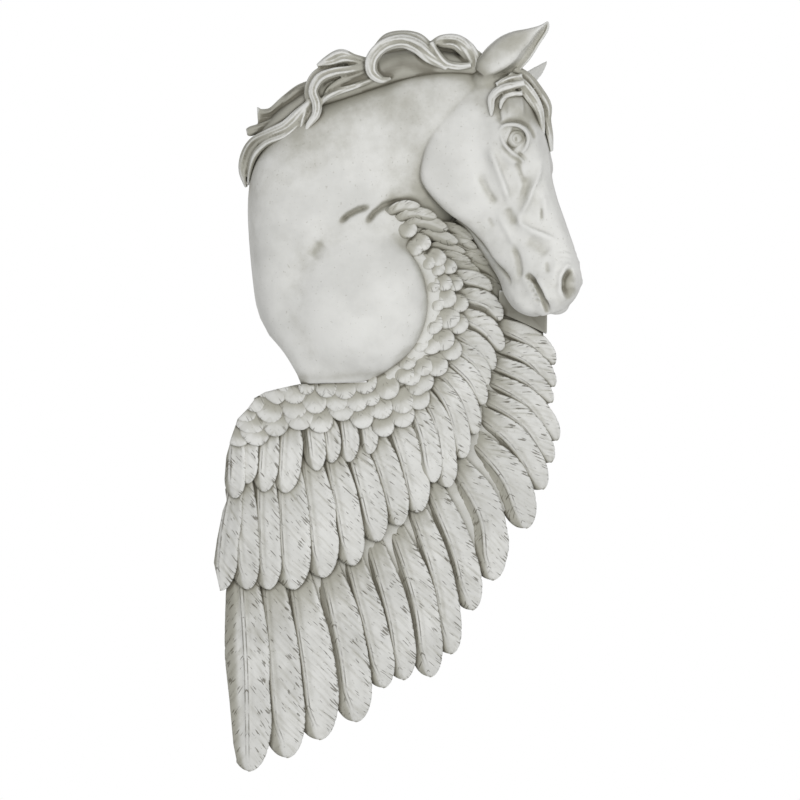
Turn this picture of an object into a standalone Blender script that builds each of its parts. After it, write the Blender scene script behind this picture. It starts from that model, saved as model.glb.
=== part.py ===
"""Wall sculpture of a winged horse: head, neck and shoulder with one hanging wing, cast in one piece.

Shapes are given on the front drawing, in millimetres: to the right and down from its top left corner,
with a third number out from the wall.
"""

import math

import bmesh
import bpy
import numpy as np

MM = 0.001

# Where the origin of the frame lies on the front drawing
ORIGIN_RIGHT = 340
ORIGIN_DOWN = 300

# Casting
GRAIN = 2.1  # edge of the cells that the parts are fused with
FACETS = 11400  # triangles left on the finished casting
BEHIND_WALL = -7  # parts are made this far past the wall, and cut off there

# Head
POLL = (492, 88)
HEAD_LENGTH = 236
HEAD_LEAN = math.radians(17.8)
HEAD_TURN = math.radians(18)
POLL_OUT = 94
MUZZLE_OUT = 124
EYE = (515, 140)
EYE_OUT = 131
EYE_RADIUS = 12

# Shoulder
SHOULDER = (358, 302)
SHOULDER_RADIUS = 71
SHOULDER_HEIGHT = 154
SHOULDER_OUT = 129
SHOULDER_DEPTH = 47
SHOULDER_LEAN = 0.15  # how much farther out it lies for each millimetre toward the wing
SOFTENING = 28  # how far the shoulder runs into the neck and chest

# Wing
WING_SPREAD = 348  # from the leading edge to the outermost tip
WING_DROP = 389  # from the line under the chest to the lowest tip
EDGE_RADIUS = 32  # of the leading edge, where the wing turns back to the wall

# Height of each row of feathers over the wing's ground, and of a feather's upper rim over its shaft
LONG_HEIGHT = 0
LONG_RIM_HEIGHT = 4.4
MIDDLE_HEIGHT = 6
MIDDLE_RIM_HEIGHT = 3.8
SHORT_HEIGHT = 11
SHORT_RIM_HEIGHT = 3.0
COLLAR_HEIGHT = 5
COLLAR_RIM_HEIGHT = 3.2
SCALE_HEIGHT = 13
SCALE_RIM_HEIGHT = 0.3
ROOT_DEPTH = 8  # how deep a feather's root starts under its row
TIP_LENGTH = 2.1  # of a feather's rounded end, in half widths
SCALE_TIP_LENGTH = 1.15

STONE = (0.72, 0.73, 0.70, 1)


def clear_scene():
    for ob in list(bpy.data.objects):
        bpy.data.objects.remove(ob)


# Curves and numbers


def eased(x, low=0.0, high=1.0):
    t = np.clip((np.asarray(x, float) - low) / (high - low), 0, 1)
    return t * t * (3 - 2 * t)


def curve_at(points, u):
    """Points on the smooth curve through the given ones, at places u counted in points."""
    p = np.asarray(points, float)
    ends = np.vstack([2 * p[0] - p[1], p, 2 * p[-1] - p[-2]])
    u = np.clip(u, 0, len(p) - 1)
    i = np.minimum(u.astype(int), len(p) - 2)
    f = (u - i)[:, None]
    a, b, c, d = ends[i], ends[i + 1], ends[i + 2], ends[i + 3]
    return 0.5 * (2 * b + (c - a) * f + (2 * a - 5 * b + 4 * c - d) * f**2 + (3 * b - a - 3 * c + d) * f**3)


def even_curve(points, count):
    """The same curve, its points evenly spaced by length, and where each lies from 0 to the last point."""
    u = np.linspace(0, len(points) - 1, 24 * len(points))
    fine = curve_at(points, u)
    run = np.concatenate([[0], np.cumsum(np.linalg.norm(np.diff(fine, axis=0), axis=1))])
    at = np.interp(np.linspace(0, run[-1], count), run, u)
    return curve_at(points, at), at


def plane_smooth(sites, values):
    """Thin-plate surface through values at sites on the drawing, as a function of (right, down)."""
    sites = np.asarray(sites, float) / 100
    values = np.asarray(values, float)
    n = len(sites)

    def bend(r2):
        return np.where(r2 > 0, r2 * np.log(np.maximum(r2, 1e-12)), 0) / 2

    r2 = ((sites[:, None] - sites[None]) ** 2).sum(-1)
    flat = np.column_stack([np.ones(n), sites])
    system = np.block([[bend(r2) + 0.002 * np.eye(n), flat], [flat.T, np.zeros((3, 3))]])
    weight = np.linalg.solve(system, np.concatenate([values, np.zeros(3)]))

    def surface(right, down):
        q = np.stack([np.asarray(right, float), np.asarray(down, float)], -1) / 100
        shape = q.shape[:-1]
        q = q.reshape(-1, 2)
        out = np.column_stack([np.ones(len(q)), q]) @ weight[n:]
        for k in range(n):
            out = out + weight[k] * bend(((q - sites[k]) ** 2).sum(-1))
        return out.reshape(shape)

    return surface


# Meshes


def to_frame(points):
    """Drawing millimetres (right, down, out) to the frame's metres."""
    p = np.asarray(points, float)
    return np.stack([p[..., 0] - ORIGIN_RIGHT, -p[..., 2], ORIGIN_DOWN - p[..., 1]], -1) * MM


def to_drawing(points):
    p = np.asarray(points, float) / MM
    return np.stack([p[..., 0] + ORIGIN_RIGHT, ORIGIN_DOWN - p[..., 2], -p[..., 1]], -1)


def mesh_object(name, parts):
    """One object from (points, faces) pairs on the drawing, with its faces turned out."""
    points, faces, first = [], [], 0
    for p, f in parts:
        points.append(np.asarray(p, float))
        faces += (np.asarray(f) + first).tolist()
        first += len(p)
    mesh = bpy.data.meshes.new(name)
    mesh.from_pydata(to_frame(np.vstack(points)).tolist(), [], faces)
    bm = bmesh.new()
    bm.from_mesh(mesh)
    bmesh.ops.recalc_face_normals(bm, faces=bm.faces)
    bm.to_mesh(mesh)
    bm.free()
    ob = bpy.data.objects.new(name, mesh)
    bpy.context.scene.collection.objects.link(ob)
    return ob


def loft(rings):
    """Closed skin over rings of equal count, its ends closed by fans, all faces as triangles."""
    rings = np.asarray(rings, float)
    m, n, _ = rings.shape
    points = np.vstack([rings.reshape(-1, 3), rings[0].mean(0), rings[-1].mean(0)])
    j = np.arange(n)
    k = (j + 1) % n
    faces = [np.stack([k, j, np.full(n, m * n)], 1)]
    for i in range(m - 1):
        a, b, c, d = i * n + j, i * n + k, (i + 1) * n + k, (i + 1) * n + j
        faces += [np.stack([a, b, c], 1), np.stack([a, c, d], 1)]
    faces.append(np.stack([(m - 1) * n + j, (m - 1) * n + k, np.full(n, m * n + 1)], 1))
    return points, np.vstack(faces)


def standing(grid, foot=BEHIND_WALL):
    """Solid under a grid of surface points, with straight sides down to the wall."""
    m, n, _ = grid.shape
    low = grid.copy()
    low[..., 2] = foot
    points = np.vstack([grid.reshape(-1, 3), low.reshape(-1, 3)])
    i, j = np.meshgrid(np.arange(m - 1), np.arange(n - 1), indexing="ij")
    a = (i * n + j).ravel()
    b, c, d = a + 1, a + n + 1, a + n
    top = np.vstack([np.stack([a, b, c], 1), np.stack([a, c, d], 1)])
    edge = np.concatenate([
        np.arange(n - 1),
        np.arange(m - 1) * n + n - 1,
        (m - 1) * n + np.arange(n - 1, 0, -1),
        np.arange(m - 1, 0, -1) * n,
    ])
    after = np.roll(edge, -1)
    low_edge, low_after = edge + m * n, after + m * n
    sides = np.vstack([np.stack([edge, low_edge, low_after], 1), np.stack([edge, low_after, after], 1)])
    return points, np.vstack([top, top[:, ::-1] + m * n, sides])


def applied(ob):
    graph = bpy.context.evaluated_depsgraph_get()
    mesh = bpy.data.meshes.new_from_object(ob.evaluated_get(graph))
    ob.modifiers.clear()
    ob.data = mesh
    return ob


def fused(ob, grain):
    remesh = ob.modifiers.new("fuse", "REMESH")
    remesh.mode = "VOXEL"
    remesh.voxel_size = grain * MM
    return applied(ob)


def largest_body(ob):
    """Drops all but the largest body, such as the skin of a closed space inside."""
    bm = bmesh.new()
    bm.from_mesh(ob.data)
    left = set(bm.verts)
    bodies = []
    while left:
        front = [left.pop()]
        body = set(front)
        while front:
            near = {e.other_vert(v) for v in front for e in v.link_edges} - body
            body |= near
            front = list(near)
        left -= body
        bodies.append(body)
    bodies.sort(key=len)
    for body in bodies[:-1]:
        bmesh.ops.delete(bm, geom=list(body), context="VERTS")
    bm.to_mesh(ob.data)
    bm.free()


class Clay:
    """A mesh opened for modelling by hand: its points on the drawing and their directions."""

    def __init__(self, ob):
        self.ob = ob
        count = len(ob.data.vertices)
        flat = np.empty(count * 3, np.float32)
        ob.data.vertices.foreach_get("co", flat)
        self.points = to_drawing(flat.reshape(-1, 3).astype(float))
        ob.data.vertices.foreach_get("normal", flat)
        n = flat.reshape(-1, 3).astype(float)
        self.normals = np.stack([n[:, 0], -n[:, 2], -n[:, 1]], 1)
        pairs = np.empty(len(ob.data.edges) * 2, np.int32)
        ob.data.edges.foreach_get("vertices", pairs)
        self.pairs = pairs.reshape(-1, 2)
        self.ways = np.maximum(np.bincount(pairs, minlength=count), 1)[:, None]

    def relax(self, amount, times):
        amount = np.broadcast_to(np.asarray(amount, float), (len(self.points),))[:, None]
        for _ in range(times):
            total = np.zeros_like(self.points)
            for k in range(3):
                total[:, k] += np.bincount(self.pairs[:, 0], self.points[self.pairs[:, 1], k], len(total))
                total[:, k] += np.bincount(self.pairs[:, 1], self.points[self.pairs[:, 0], k], len(total))
            self.points += 0.5 * amount * (total / self.ways - self.points)

    def close(self):
        self.ob.data.vertices.foreach_set("co", to_frame(self.points).astype(np.float32).ravel())
        self.ob.data.update()
        return self.ob


# Head

HEAD_DRAWN = 236  # length of the head on the drawing, which the stations follow

# Down the head from the poll: front and back of the outline, then half widths at the forehead, brow,
# side, cheek and jaw
HEAD_STATIONS = [
    (-22, 8, -26, 8, 13, 17, 16, 11),
    (-12, 22, -40, 14, 23, 27, 26, 19),
    (6, 34, -56, 20, 33, 36, 36, 27),
    (25, 38.5, -75, 25, 39, 39, 38, 32),
    (45, 38.5, -88, 28, 42, 38, 39, 36),
    (65, 37.5, -96, 25, 39, 36, 39, 37),
    (85, 34.5, -91, 20, 31, 33, 37, 34),
    (105, 29.5, -81, 15, 24, 29, 32, 28),
    (125, 28, -66, 13, 20, 25, 25, 20),
    (145, 28.5, -56, 12, 18, 22, 20, 15),
    (165, 29, -50, 12, 18, 21, 19, 13),
    (185, 29.5, -41, 13, 21, 22, 18, 12),
    (200, 29, -44, 14, 25, 24, 18, 13),
    (212, 26, -45, 14, 26, 24, 18, 12),
    (224, 17, -33, 11, 21, 20, 14, 8),
    (233, 3, -22, 6, 11, 11, 8, 5),
]
ACROSS = (0.955, 0.80, 0.56, 0.27, 0.06)  # where those widths lie, from the back at 0 to the front at 1


def head_axes():
    down = np.array([math.sin(HEAD_LEAN), math.cos(HEAD_LEAN)])
    front = np.array([math.cos(HEAD_LEAN), -math.sin(HEAD_LEAN)])
    return down, front


def head_middle_out(along):
    return POLL_OUT + (MUZZLE_OUT - POLL_OUT) * along / HEAD_LENGTH


def head_ring(station, count):
    along, front, back, *widths = station
    a = np.array([front, *(back + (front - back) * f for f in ACROSS), back])
    w = np.array([0, *widths, 0])
    side = curve_at(np.column_stack([a, w]), np.linspace(0, len(a) - 1, count // 2 + 1))
    ring = np.vstack([side, (side * [1, -1])[-2:0:-1]])
    turned = ring[:, 0] * math.cos(HEAD_TURN) - ring[:, 1] * math.sin(HEAD_TURN)
    drawn = back + (turned - turned.min()) * (front - back) / (turned.max() - turned.min())
    level = (drawn + ring[:, 1] * math.sin(HEAD_TURN)) / math.cos(HEAD_TURN)
    out = level * math.sin(HEAD_TURN) + ring[:, 1] * math.cos(HEAD_TURN)
    return drawn, out


def head_skin(rings, count):
    down, front = head_axes()
    stations = curve_at(HEAD_STATIONS, np.linspace(0, len(HEAD_STATIONS) - 1, rings))
    scale = HEAD_LENGTH / HEAD_DRAWN
    loops = []
    for station in stations:
        drawn, out = head_ring(station, count)
        along = station[0] * scale
        flat = np.asarray(POLL) + along * down + drawn[:, None] * front
        loops.append(np.column_stack([flat, head_middle_out(along) + out]))
    return loft(loops)


def near_ear(rings=26, count=33):
    """Leaf with its opening toward the brow. Each station: back edge, near rim, far rim, on the drawing."""
    stations = [
        ((475, 70), (486, 79), (506, 79)),
        ((476, 62), (496, 74), (518, 72)),
        ((481, 55), (506, 68), (524, 66)),
        ((489, 46), (514, 61), (529, 60)),
        ((500, 37.5), (521, 52), (534, 52.5)),
        ((513, 32), (529, 43), (540, 43)),
        ((527, 29), (537, 32.5), (545, 34.5)),
        ((539, 25.5), (543, 26.5), (548.5, 28.5)),
        ((547, 20.5), (547.5, 21), (548.5, 22)),
    ]
    loops = []
    for k, (back, rim, far) in enumerate(stations):
        back, rim, far = np.array(back), np.array(rim), np.array(far)
        size = np.linalg.norm(far - back) + 6
        out = 112 + 2 * k
        bulge = (back + rim) / 2
        well = (rim + far) / 2
        section = [
            (*back, out),
            (*(back * 0.6 + bulge * 0.4), out + 0.26 * size),
            (*(bulge * 0.5 + rim * 0.5), out + 0.36 * size),
            (*rim, out + 0.30 * size),
            (*(rim * 0.7 + well * 0.3), out + 0.14 * size),
            (*well, out - 0.02 * size),
            (*far, out + 0.05 * size),
            (*(far * 0.97 + back * 0.03), out - 0.12 * size),
            (*(far * 0.8 + back * 0.2), out - 0.24 * size),
            (*((far + back) / 2), out - 0.30 * size),
            (*(far * 0.2 + back * 0.8), out - 0.20 * size),
            (*back, out),
        ]
        loops.append(curve_at(section, np.linspace(0, len(section) - 1, count + 1))[:-1])
    loops = np.array(loops)
    span = np.linspace(0, len(stations) - 1, rings)
    return loft(np.stack([curve_at(loops[:, j], span) for j in range(count)], 1))


def tube(path, sides=14, rings=26, ridges=0, ridge=0.0):
    """Lock or strand along a path of (right, down, out, width, thickness), its section an oval."""
    line, _ = even_curve(path, rings)
    along = np.gradient(line[:, :2], axis=0)
    along /= np.maximum(np.linalg.norm(along, axis=1), 1e-6)[:, None]
    across = np.stack([along[:, 1], -along[:, 0]], 1)
    angle = np.linspace(0, 2 * math.pi, sides, endpoint=False)
    wave = 1 + ridge * np.cos(ridges * angle) * (np.sin(angle) > 0)
    loops = []
    for p, side in zip(line, across):
        reach = np.maximum(p[3], 0.4) / 2 * np.cos(angle)
        rise = np.maximum(p[4], 0.4) / 2 * np.sin(angle) * wave
        loops.append(np.column_stack([p[:2] + reach[:, None] * side, p[2] + rise]))
    return loft(loops)


def far_rim():
    """Rounded edge along the far side of the near ear."""
    return tube([(517, 71, 112, 3, 5), (528, 60, 117, 3.2, 5), (539, 43, 122, 3.2, 5),
    (545, 34, 124, 3.2, 5),
                 (547.5, 27, 126, 3, 5), (547.5, 22, 128, 2, 4)])


def far_ear():
    return tube([(520, 88, 70, 15, 10), (530, 78, 66, 14, 8), (539, 70, 62, 10, 5), (547, 61.5, 58, 2, 2)])


# Neck, chest and shoulder

# From the chest to the poll: left edge, right edge, middle out from the wall and half thickness
NECK_STATIONS = [
    (304, 408, 374, 406, 34, 30),
    (300, 397, 378, 394, 38, 42),
    (295, 384, 386, 382, 40, 52),
    (288, 369, 398, 368, 38, 60),
    (276, 350, 414, 352, 32, 66),
    (258, 318, 428, 322, 26, 76),
    (252, 280, 432, 288, 24, 78),
    (248, 236, 436, 262, 26, 78),
    (247, 196, 446, 240, 30, 76),
    (254, 160, 458, 218, 36, 70),
    (276, 128, 468, 200, 44, 62),
    (310, 106, 476, 184, 54, 54),
    (352, 91, 482, 166, 64, 48),
    (396, 77, 486, 150, 74, 43),
    (438, 69, 490, 136, 84, 38),
    (476, 70, 502, 124, 90, 32),
]


def neck_skin(rings=40, count=48):
    stations, _ = even_curve(NECK_STATIONS, rings)
    angle = np.linspace(0, 2 * math.pi, count, endpoint=False)
    loops = []
    for lx, ly, rx, ry, out, half in stations:
        left, right = np.array([lx, ly]), np.array([rx, ry])
        flat = (left + right) / 2 + np.cos(angle)[:, None] * (right - left) / 2
        bulge = np.sign(np.sin(angle)) * np.abs(np.sin(angle)) ** 0.6
        loops.append(np.column_stack([flat, out + half * bulge]))
    return loft(loops)


def ball(centre, radii, count=40):
    turn = np.linspace(0, 2 * math.pi, count, endpoint=False)
    loops = []
    for tilt in np.linspace(-1.5, 1.5, count // 2):
        r = math.cos(tilt)
        loops.append(np.column_stack([
            centre[0] + radii[0] * r * np.cos(turn),
            centre[1] + radii[1] * r * np.sin(turn),
            np.full(count, centre[2] + radii[2] * math.sin(tilt)),
        ]))
    return loft(loops)


def shoulder():
    radii = (SHOULDER_RADIUS, SHOULDER_HEIGHT / 2, SHOULDER_DEPTH)
    points, faces = ball((*SHOULDER, SHOULDER_OUT - SHOULDER_DEPTH), radii)
    points[:, 2] += SHOULDER_LEAN * (points[:, 0] - SHOULDER[0])
    return points, faces


def poll():
    """Crown between the ears and the neck."""
    return ball((POLL[0] - 4, POLL[1] - 5, POLL_OUT + 8), (20, 16, 25), 24)


def chin_web():
    """Web that carries the chin on the top feathers, set back behind both."""
    front = [(496, 292, 76), (547, 300, 78), (547, 318, 72), (547, 336, 60), (520, 338, 60), (494, 328, 64)]
    return loft([[(right, down, BEHIND_WALL) for right, down, _ in front], front])


# Mane and forelock

MANE_LOCKS = [
    # Ring curl: its broad band, the thin strand over it, the hollow inside and the small lock in the hollow
    [(391, 79, 104, 3, 4), (381, 80, 106, 8, 10), (372, 72, 107, 12, 15), (373, 58, 107, 13, 18),
     (385, 46, 108, 13, 18), (402, 42, 109, 14, 18), (417, 47, 111, 15, 18), (430, 58, 114, 13, 15),
     (447, 69, 114, 5, 6)],
    [(374, 50, 100, 5, 10), (387, 38, 100, 8, 14), (404, 34.5, 101, 8, 14), (420, 38.5, 104, 8, 14),
     (433, 52, 107, 8, 12), (446, 67, 110, 5, 8)],
    [(372, 72, 80, 12, 20), (386, 64, 78, 26, 24), (404, 60, 78, 34, 24), (424, 64, 82, 24, 20),
     (440, 68, 90, 10, 12)],
    [(391, 78, 98, 3, 4), (382, 77, 98, 6, 9), (384, 68, 96, 7, 10), (394, 61, 93, 7, 9),
     (410, 59, 90, 5, 6)],
    # Rounded curl beside the ear, with its lower rim
    [(431, 45, 102, 6, 14), (442, 42, 104, 13, 20), (456, 43, 106, 16, 22), (467, 51, 108, 17, 20),
     (473, 61, 110, 15, 16), (474, 70, 110, 6, 8)],
    [(431, 43, 112, 5, 8), (437, 54, 114, 7, 10), (446, 64, 114, 8, 11), (458, 67, 114, 8, 11),
     (471, 66, 114, 6, 9)],
    [(436, 52, 84, 16, 22), (452, 55, 86, 24, 24), (470, 62, 92, 18, 22)],
    [(474, 64, 108, 6, 8), (477, 55, 108, 7, 9), (482, 60, 108, 6, 9)],
    # Leaf-shaped lock on top
    [(317, 66, 92, 3, 6), (328, 61.5, 93, 11, 15), (341, 57, 94, 15, 19), (354, 60, 94, 11, 17),
     (370, 64, 94, 10, 14)],
    # S-shaped lock and the strand on its left
    [(326, 70, 84, 6, 12), (344, 66, 84, 14, 18), (372, 63, 86, 12, 16)],
    [(374, 64, 94, 10, 12), (352, 70, 98, 9, 14), (334, 73, 99, 10, 15), (320, 79, 97, 11, 15),
     (313.5, 91, 94, 10, 14), (317, 104, 93, 10, 13), (316, 115, 92, 9, 11), (309, 125, 90, 6, 8),
     (305.5, 133, 88, 2, 3)],
    [(336, 65, 88, 7, 10), (318, 73, 88, 8, 12), (310, 84, 87, 8, 12), (308.5, 96, 85, 8, 12),
     (312, 108, 85, 7, 10), (307, 120, 83, 6, 9), (304, 131, 80, 2, 3)],
    # Combed hollow between the S-shaped lock and the ring
    [(374, 74, 88, 24, 20), (352, 80, 86, 26, 20), (334, 86, 84, 24, 20), (319, 99, 80, 12, 14)],
    [(372, 68, 96, 4, 6), (358, 74, 97, 5, 7), (342, 80, 95, 5, 7), (330, 88, 92, 4, 6),
     (324, 96, 90, 2, 3)],
    [(372, 80, 98, 5, 8), (354, 87, 97, 6, 9), (338, 92, 95, 7, 9), (325, 99, 93, 6, 8),
     (319, 108, 90, 2, 3)],
    # Ribbon with the square end, and the lock with the round end
    [(314, 84, 74, 10, 16), (300, 91, 68, 13, 18), (286, 101.5, 60, 13, 17), (273, 113, 52, 13, 14),
     (263, 116.5, 47, 16, 10), (257.5, 117, 46, 21, 8)],
    [(310, 96, 76, 8, 12), (293, 110, 68, 10, 14), (277, 120.5, 60, 9, 14), (262, 127, 50, 9, 13),
     (251, 131, 46, 10, 12), (246.5, 132, 45, 7, 9)],
    # Locks that close the mane down the left edge
    [(310, 102, 88, 6, 10), (299, 114, 84, 11, 15), (286, 126, 78, 12, 16), (269, 134, 67, 11, 16),
     (254, 143, 54, 12, 18), (246, 156, 44, 12, 18), (243, 171, 37, 9, 16), (246, 187, 32, 3, 8)],
    [(306, 118, 84, 4, 5), (286, 135, 78, 7, 10), (267, 143, 68, 7, 10), (255, 155, 56, 7, 10),
     (250, 170, 46, 5, 8), (248, 185, 40, 2, 4)],
    [(309, 100, 88, 5, 8), (304.5, 112, 87, 6, 9), (302, 124, 85, 5, 7), (300, 132, 83, 2, 3)],
]

# Body of the mane under its locks, along the crest of the neck
MANE_BED = [(249, 176, 30, 7, 30), (252, 158, 36, 9, 34), (262, 140, 42, 13, 40), (280, 122, 48, 20, 44),
            (304, 104, 56, 24, 48), (334, 86, 66, 26, 48), (368, 74, 74, 26, 48), (404, 64, 82, 24, 48),
            (444, 62, 90, 20, 44), (480, 68, 94, 12, 36)]

FORELOCKS = [
    [(514, 70, 112, 10, 12), (526, 80, 112, 14, 16), (536, 93, 110, 15, 18), (544, 107, 107, 15, 18),
     (546, 121, 104, 10, 16), (549, 136, 102, 8, 14), (551, 152, 102, 4, 8)],
    [(508, 76, 122, 9, 11), (521, 86, 124, 13, 16), (531, 98, 122, 13, 17), (538, 110, 118, 10, 14),
     (541, 122, 114, 7, 10), (543.5, 135, 111, 2.5, 4)],
    [(524, 84, 128, 6, 9), (511, 87, 131, 9, 12), (499, 91, 134, 9, 13), (491.5, 99, 136, 8, 12),
     (491, 109, 137, 6, 9), (491, 117, 137, 2.5, 4)],
    [(522, 94, 130, 5, 8), (509, 96, 133, 6, 9), (502, 101, 135, 6, 9), (500, 110, 136, 2.5, 4)],
    [(522, 77, 122, 6, 9), (508, 80, 127, 7, 10), (496, 86, 131, 5, 7)],
]

# Wing

# Left outline of the wing, from the chest to the lowest tip
LEADING_EDGE = [(297, 384), (269, 389), (249, 400), (237, 414), (228, 436), (221, 462), (219, 490),
(216, 520),
                (210, 550), (208, 566), (212, 590), (216, 620), (219, 660), (223, 700), (228, 745),
                (234, 772)]

# Places on the drawing and how far out from the wall the sheet under the feathers lies there
SHEET = [
    (300, 385, 62), (340, 384, 68), (380, 379, 72), (412, 358, 76), (438, 325, 78), (446, 285, 78),
    (430, 240, 80),
    (405, 215, 84), (470, 255, 66), (490, 300, 56), (520, 320, 50), (552, 365, 34), (560, 440, 24),
    (538, 485, 24),
    (480, 430, 50), (440, 440, 58), (400, 440, 60), (350, 440, 60), (300, 440, 60), (245, 440, 56),
    (225, 560, 42),
    (300, 560, 46), (380, 530, 46), (440, 520, 42), (492, 575, 20), (468, 605, 18), (400, 640, 22),
    (330, 660, 26),
    (240, 660, 28), (247, 765, 13), (320, 735, 13), (383, 685, 13), (440, 650, 15),
]


def wing_places(points):
    """Places of the wing as on the drawing, moved to suit the wing's spread and drop."""
    p = np.array(points, float)
    edge = np.array(LEADING_EDGE)
    tips = np.array([feather[-2] for feather in LONG])
    corner = edge[0]
    spread = WING_SPREAD / (tips[:, 0].max() - edge[:, 0].min())
    drop = WING_DROP / (tips[:, 1].max() - corner[1])
    p[..., :2] = corner + (p[..., :2] - corner) * [spread, drop]
    return p


class Sheet:
    """Surface that the feathers lie on, turned back to the wall along the leading edge."""

    def __init__(self):
        sites = wing_places(SHEET)
        self.rise = plane_smooth(sites[:, :2], sites[:, 2])
        edge = curve_at(wing_places(LEADING_EDGE), np.linspace(0, len(LEADING_EDGE) - 1, 200))
        self.edge = edge[np.argsort(edge[:, 1])]

    def out(self, right, down):
        height = self.rise(right, down)
        inward = np.asarray(right, float) - np.interp(down, self.edge[:, 1], self.edge[:, 0])
        short = np.clip(EDGE_RADIUS - inward, 0, EDGE_RADIUS)
        turned = np.sqrt(np.maximum(EDGE_RADIUS**2 - short**2, 0)) - EDGE_RADIUS
        return height + turned * np.clip(height / 60, 0.25, 1)

    def lifted(self, right, down, lift):
        """Points at a height above the sheet, square to it."""
        step = 2.0
        slope_right = (self.out(right + step, down) - self.out(right - step, down)) / (2 * step)
        slope_down = (self.out(right, down + step) - self.out(right, down - step)) / (2 * step)
        slope_right = np.clip(slope_right, -1.2, 1.2)
        size = np.sqrt(slope_right**2 + slope_down**2 + 1)
        return np.stack([
            right - lift * slope_right / size,
            down - lift * slope_down / size,
            self.out(right, down) + lift / size,
        ], -1)


class Blade:
    """Places on one vane: a grid along its shaft and across it, its end rounded."""

    def __init__(self, shaft, half, lengths, widths, tip=TIP_LENGTH):
        fine, _ = even_curve(shaft, 80)
        self.long = np.linalg.norm(np.diff(fine, axis=0), axis=1).sum()
        self.u = 1 - (1 - np.linspace(0, 1, lengths)) ** 1.5
        self.line = curve_at(fine, self.u * 79)
        fine_along = np.gradient(fine, axis=0)
        along = np.stack([np.interp(self.u * 79, np.arange(80), fine_along[:, k]) for k in range(2)], 1)
        along /= np.linalg.norm(along, axis=1)[:, None]
        self.across = np.stack([along[:, 1], -along[:, 0]], 1)
        self.end = np.clip(1 - (1 - self.u) * self.long / (tip * half), 0, 1)
        full = half * (0.66 + 0.34 * eased(self.u, 0, 0.5))
        self.width = full * np.maximum(1 - self.end**2, 0.0004) ** 0.48
        self.v = np.sin(np.linspace(-1, 1, widths) * math.pi / 2)

    def places(self, reach):
        right = self.line[:, None, 0] + reach * self.across[:, None, 0]
        down = self.line[:, None, 1] + reach * self.across[:, None, 1]
        return right, down

    def height(self, row_height, rim_height, rise):
        """Over the sheet: higher toward the rim on the right, the end standing proud, the root sunk."""
        sunk = ROOT_DEPTH * (1 - eased(self.u, 0, 0.22))
        along = row_height + rise * self.u - sunk - 1.2 * self.end**3
        return along[:, None] + rim_height * self.v - 1.6 * np.abs(self.v) ** 3


def feather(sheet, shaft, half, row_height, rim_height, rise, lengths=15, widths=9, tip=TIP_LENGTH):
    blade = Blade(wing_places(shaft), half, lengths, widths, tip)
    right, down = blade.places(blade.width[:, None] * blade.v)
    shaft_ridge = 0.9 * np.exp(-((blade.v / 0.13) ** 2))
    return sheet.lifted(right, down, blade.height(row_height, rim_height, rise) + shaft_ridge)


# Feathers of each row from the leading edge round: root, middle and tip of the shaft, and half width
LONG = [
    ((239, 545), (246, 665), (247, 773), 23),
    ((265, 555), (278, 675), (286, 759), 23),
    ((292, 560), (311, 665), (319, 741), 24),
    ((322, 550), (346, 645), (356, 723), 21),
    ((346, 540), (373, 635), (384, 689), 17),
    ((368, 530), (394, 612), (404, 681), 17),
    ((390, 515), (420, 597), (431, 678), 17),
    ((404, 480), (438, 570), (452, 655), 16),
    ((420, 462), (457, 546), (472, 611), 15),
    ((442, 446), (481, 516), (492, 581), 15),
    ((470, 434), (507, 479), (527, 529), 16),
    ((474, 410), (516, 443), (545, 490), 15),
    ((478, 394), (524, 422), (553, 463), 13),
    ((482, 376), (529, 401), (560, 441), 13),
    ((484, 360), (527, 378), (555, 403), 12),
    ((488, 344), (529, 358), (557, 387), 12),
    ((490, 322), (531, 340), (557, 365), 13),
]
MIDDLE = [
    ((238, 466), (229, 530), (221, 590), 10),
    ((240, 455), (242, 530), (246, 589), 16),
    ((262, 450), (264, 530), (267, 589), 16),
    ((284, 445), (288, 525), (292, 589), 22),
    ((304, 440), (316, 515), (322, 577), 20),
    ((326, 435), (342, 505), (352, 565), 18),
    ((346, 425), (366, 490), (377, 541), 17),
    ((364, 415), (387, 475), (399, 525), 17),
    ((384, 392), (408, 458), (418, 512), 18),
]
SHORT = [
    ((242, 420), (238, 462), (237, 498), 9.5),
    ((250, 412), (248, 450), (247, 483), 11),
    ((269, 410), (266, 452), (263, 491), 14),
    ((289, 408), (287, 452), (284, 492), 16),
    ((309, 408), (314, 442), (316, 470), 12),
    ((325, 406), (330, 436), (331, 462), 11),
    ((343, 404), (348, 435), (348, 461), 12),
    ((361, 402), (368, 430), (369, 453), 11),
    ((400, 384), (424, 428), (433, 481), 12),
    ((412, 378), (438, 420), (447, 486), 12),
    ((424, 370), (450, 405), (462, 457), 12),
    ((430, 360), (460, 393), (474, 433), 12),
    ((438, 350), (469, 377), (482, 404), 11),
    ((444, 340), (474, 361), (485, 385), 10),
    ((446, 328), (477, 347), (492, 369), 11),
    ((448, 310), (484, 329), (501, 350), 12),
    ((448, 294), (484, 303), (501, 321), 12),
    ((444, 276), (476, 282), (490, 291), 10),
]

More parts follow.
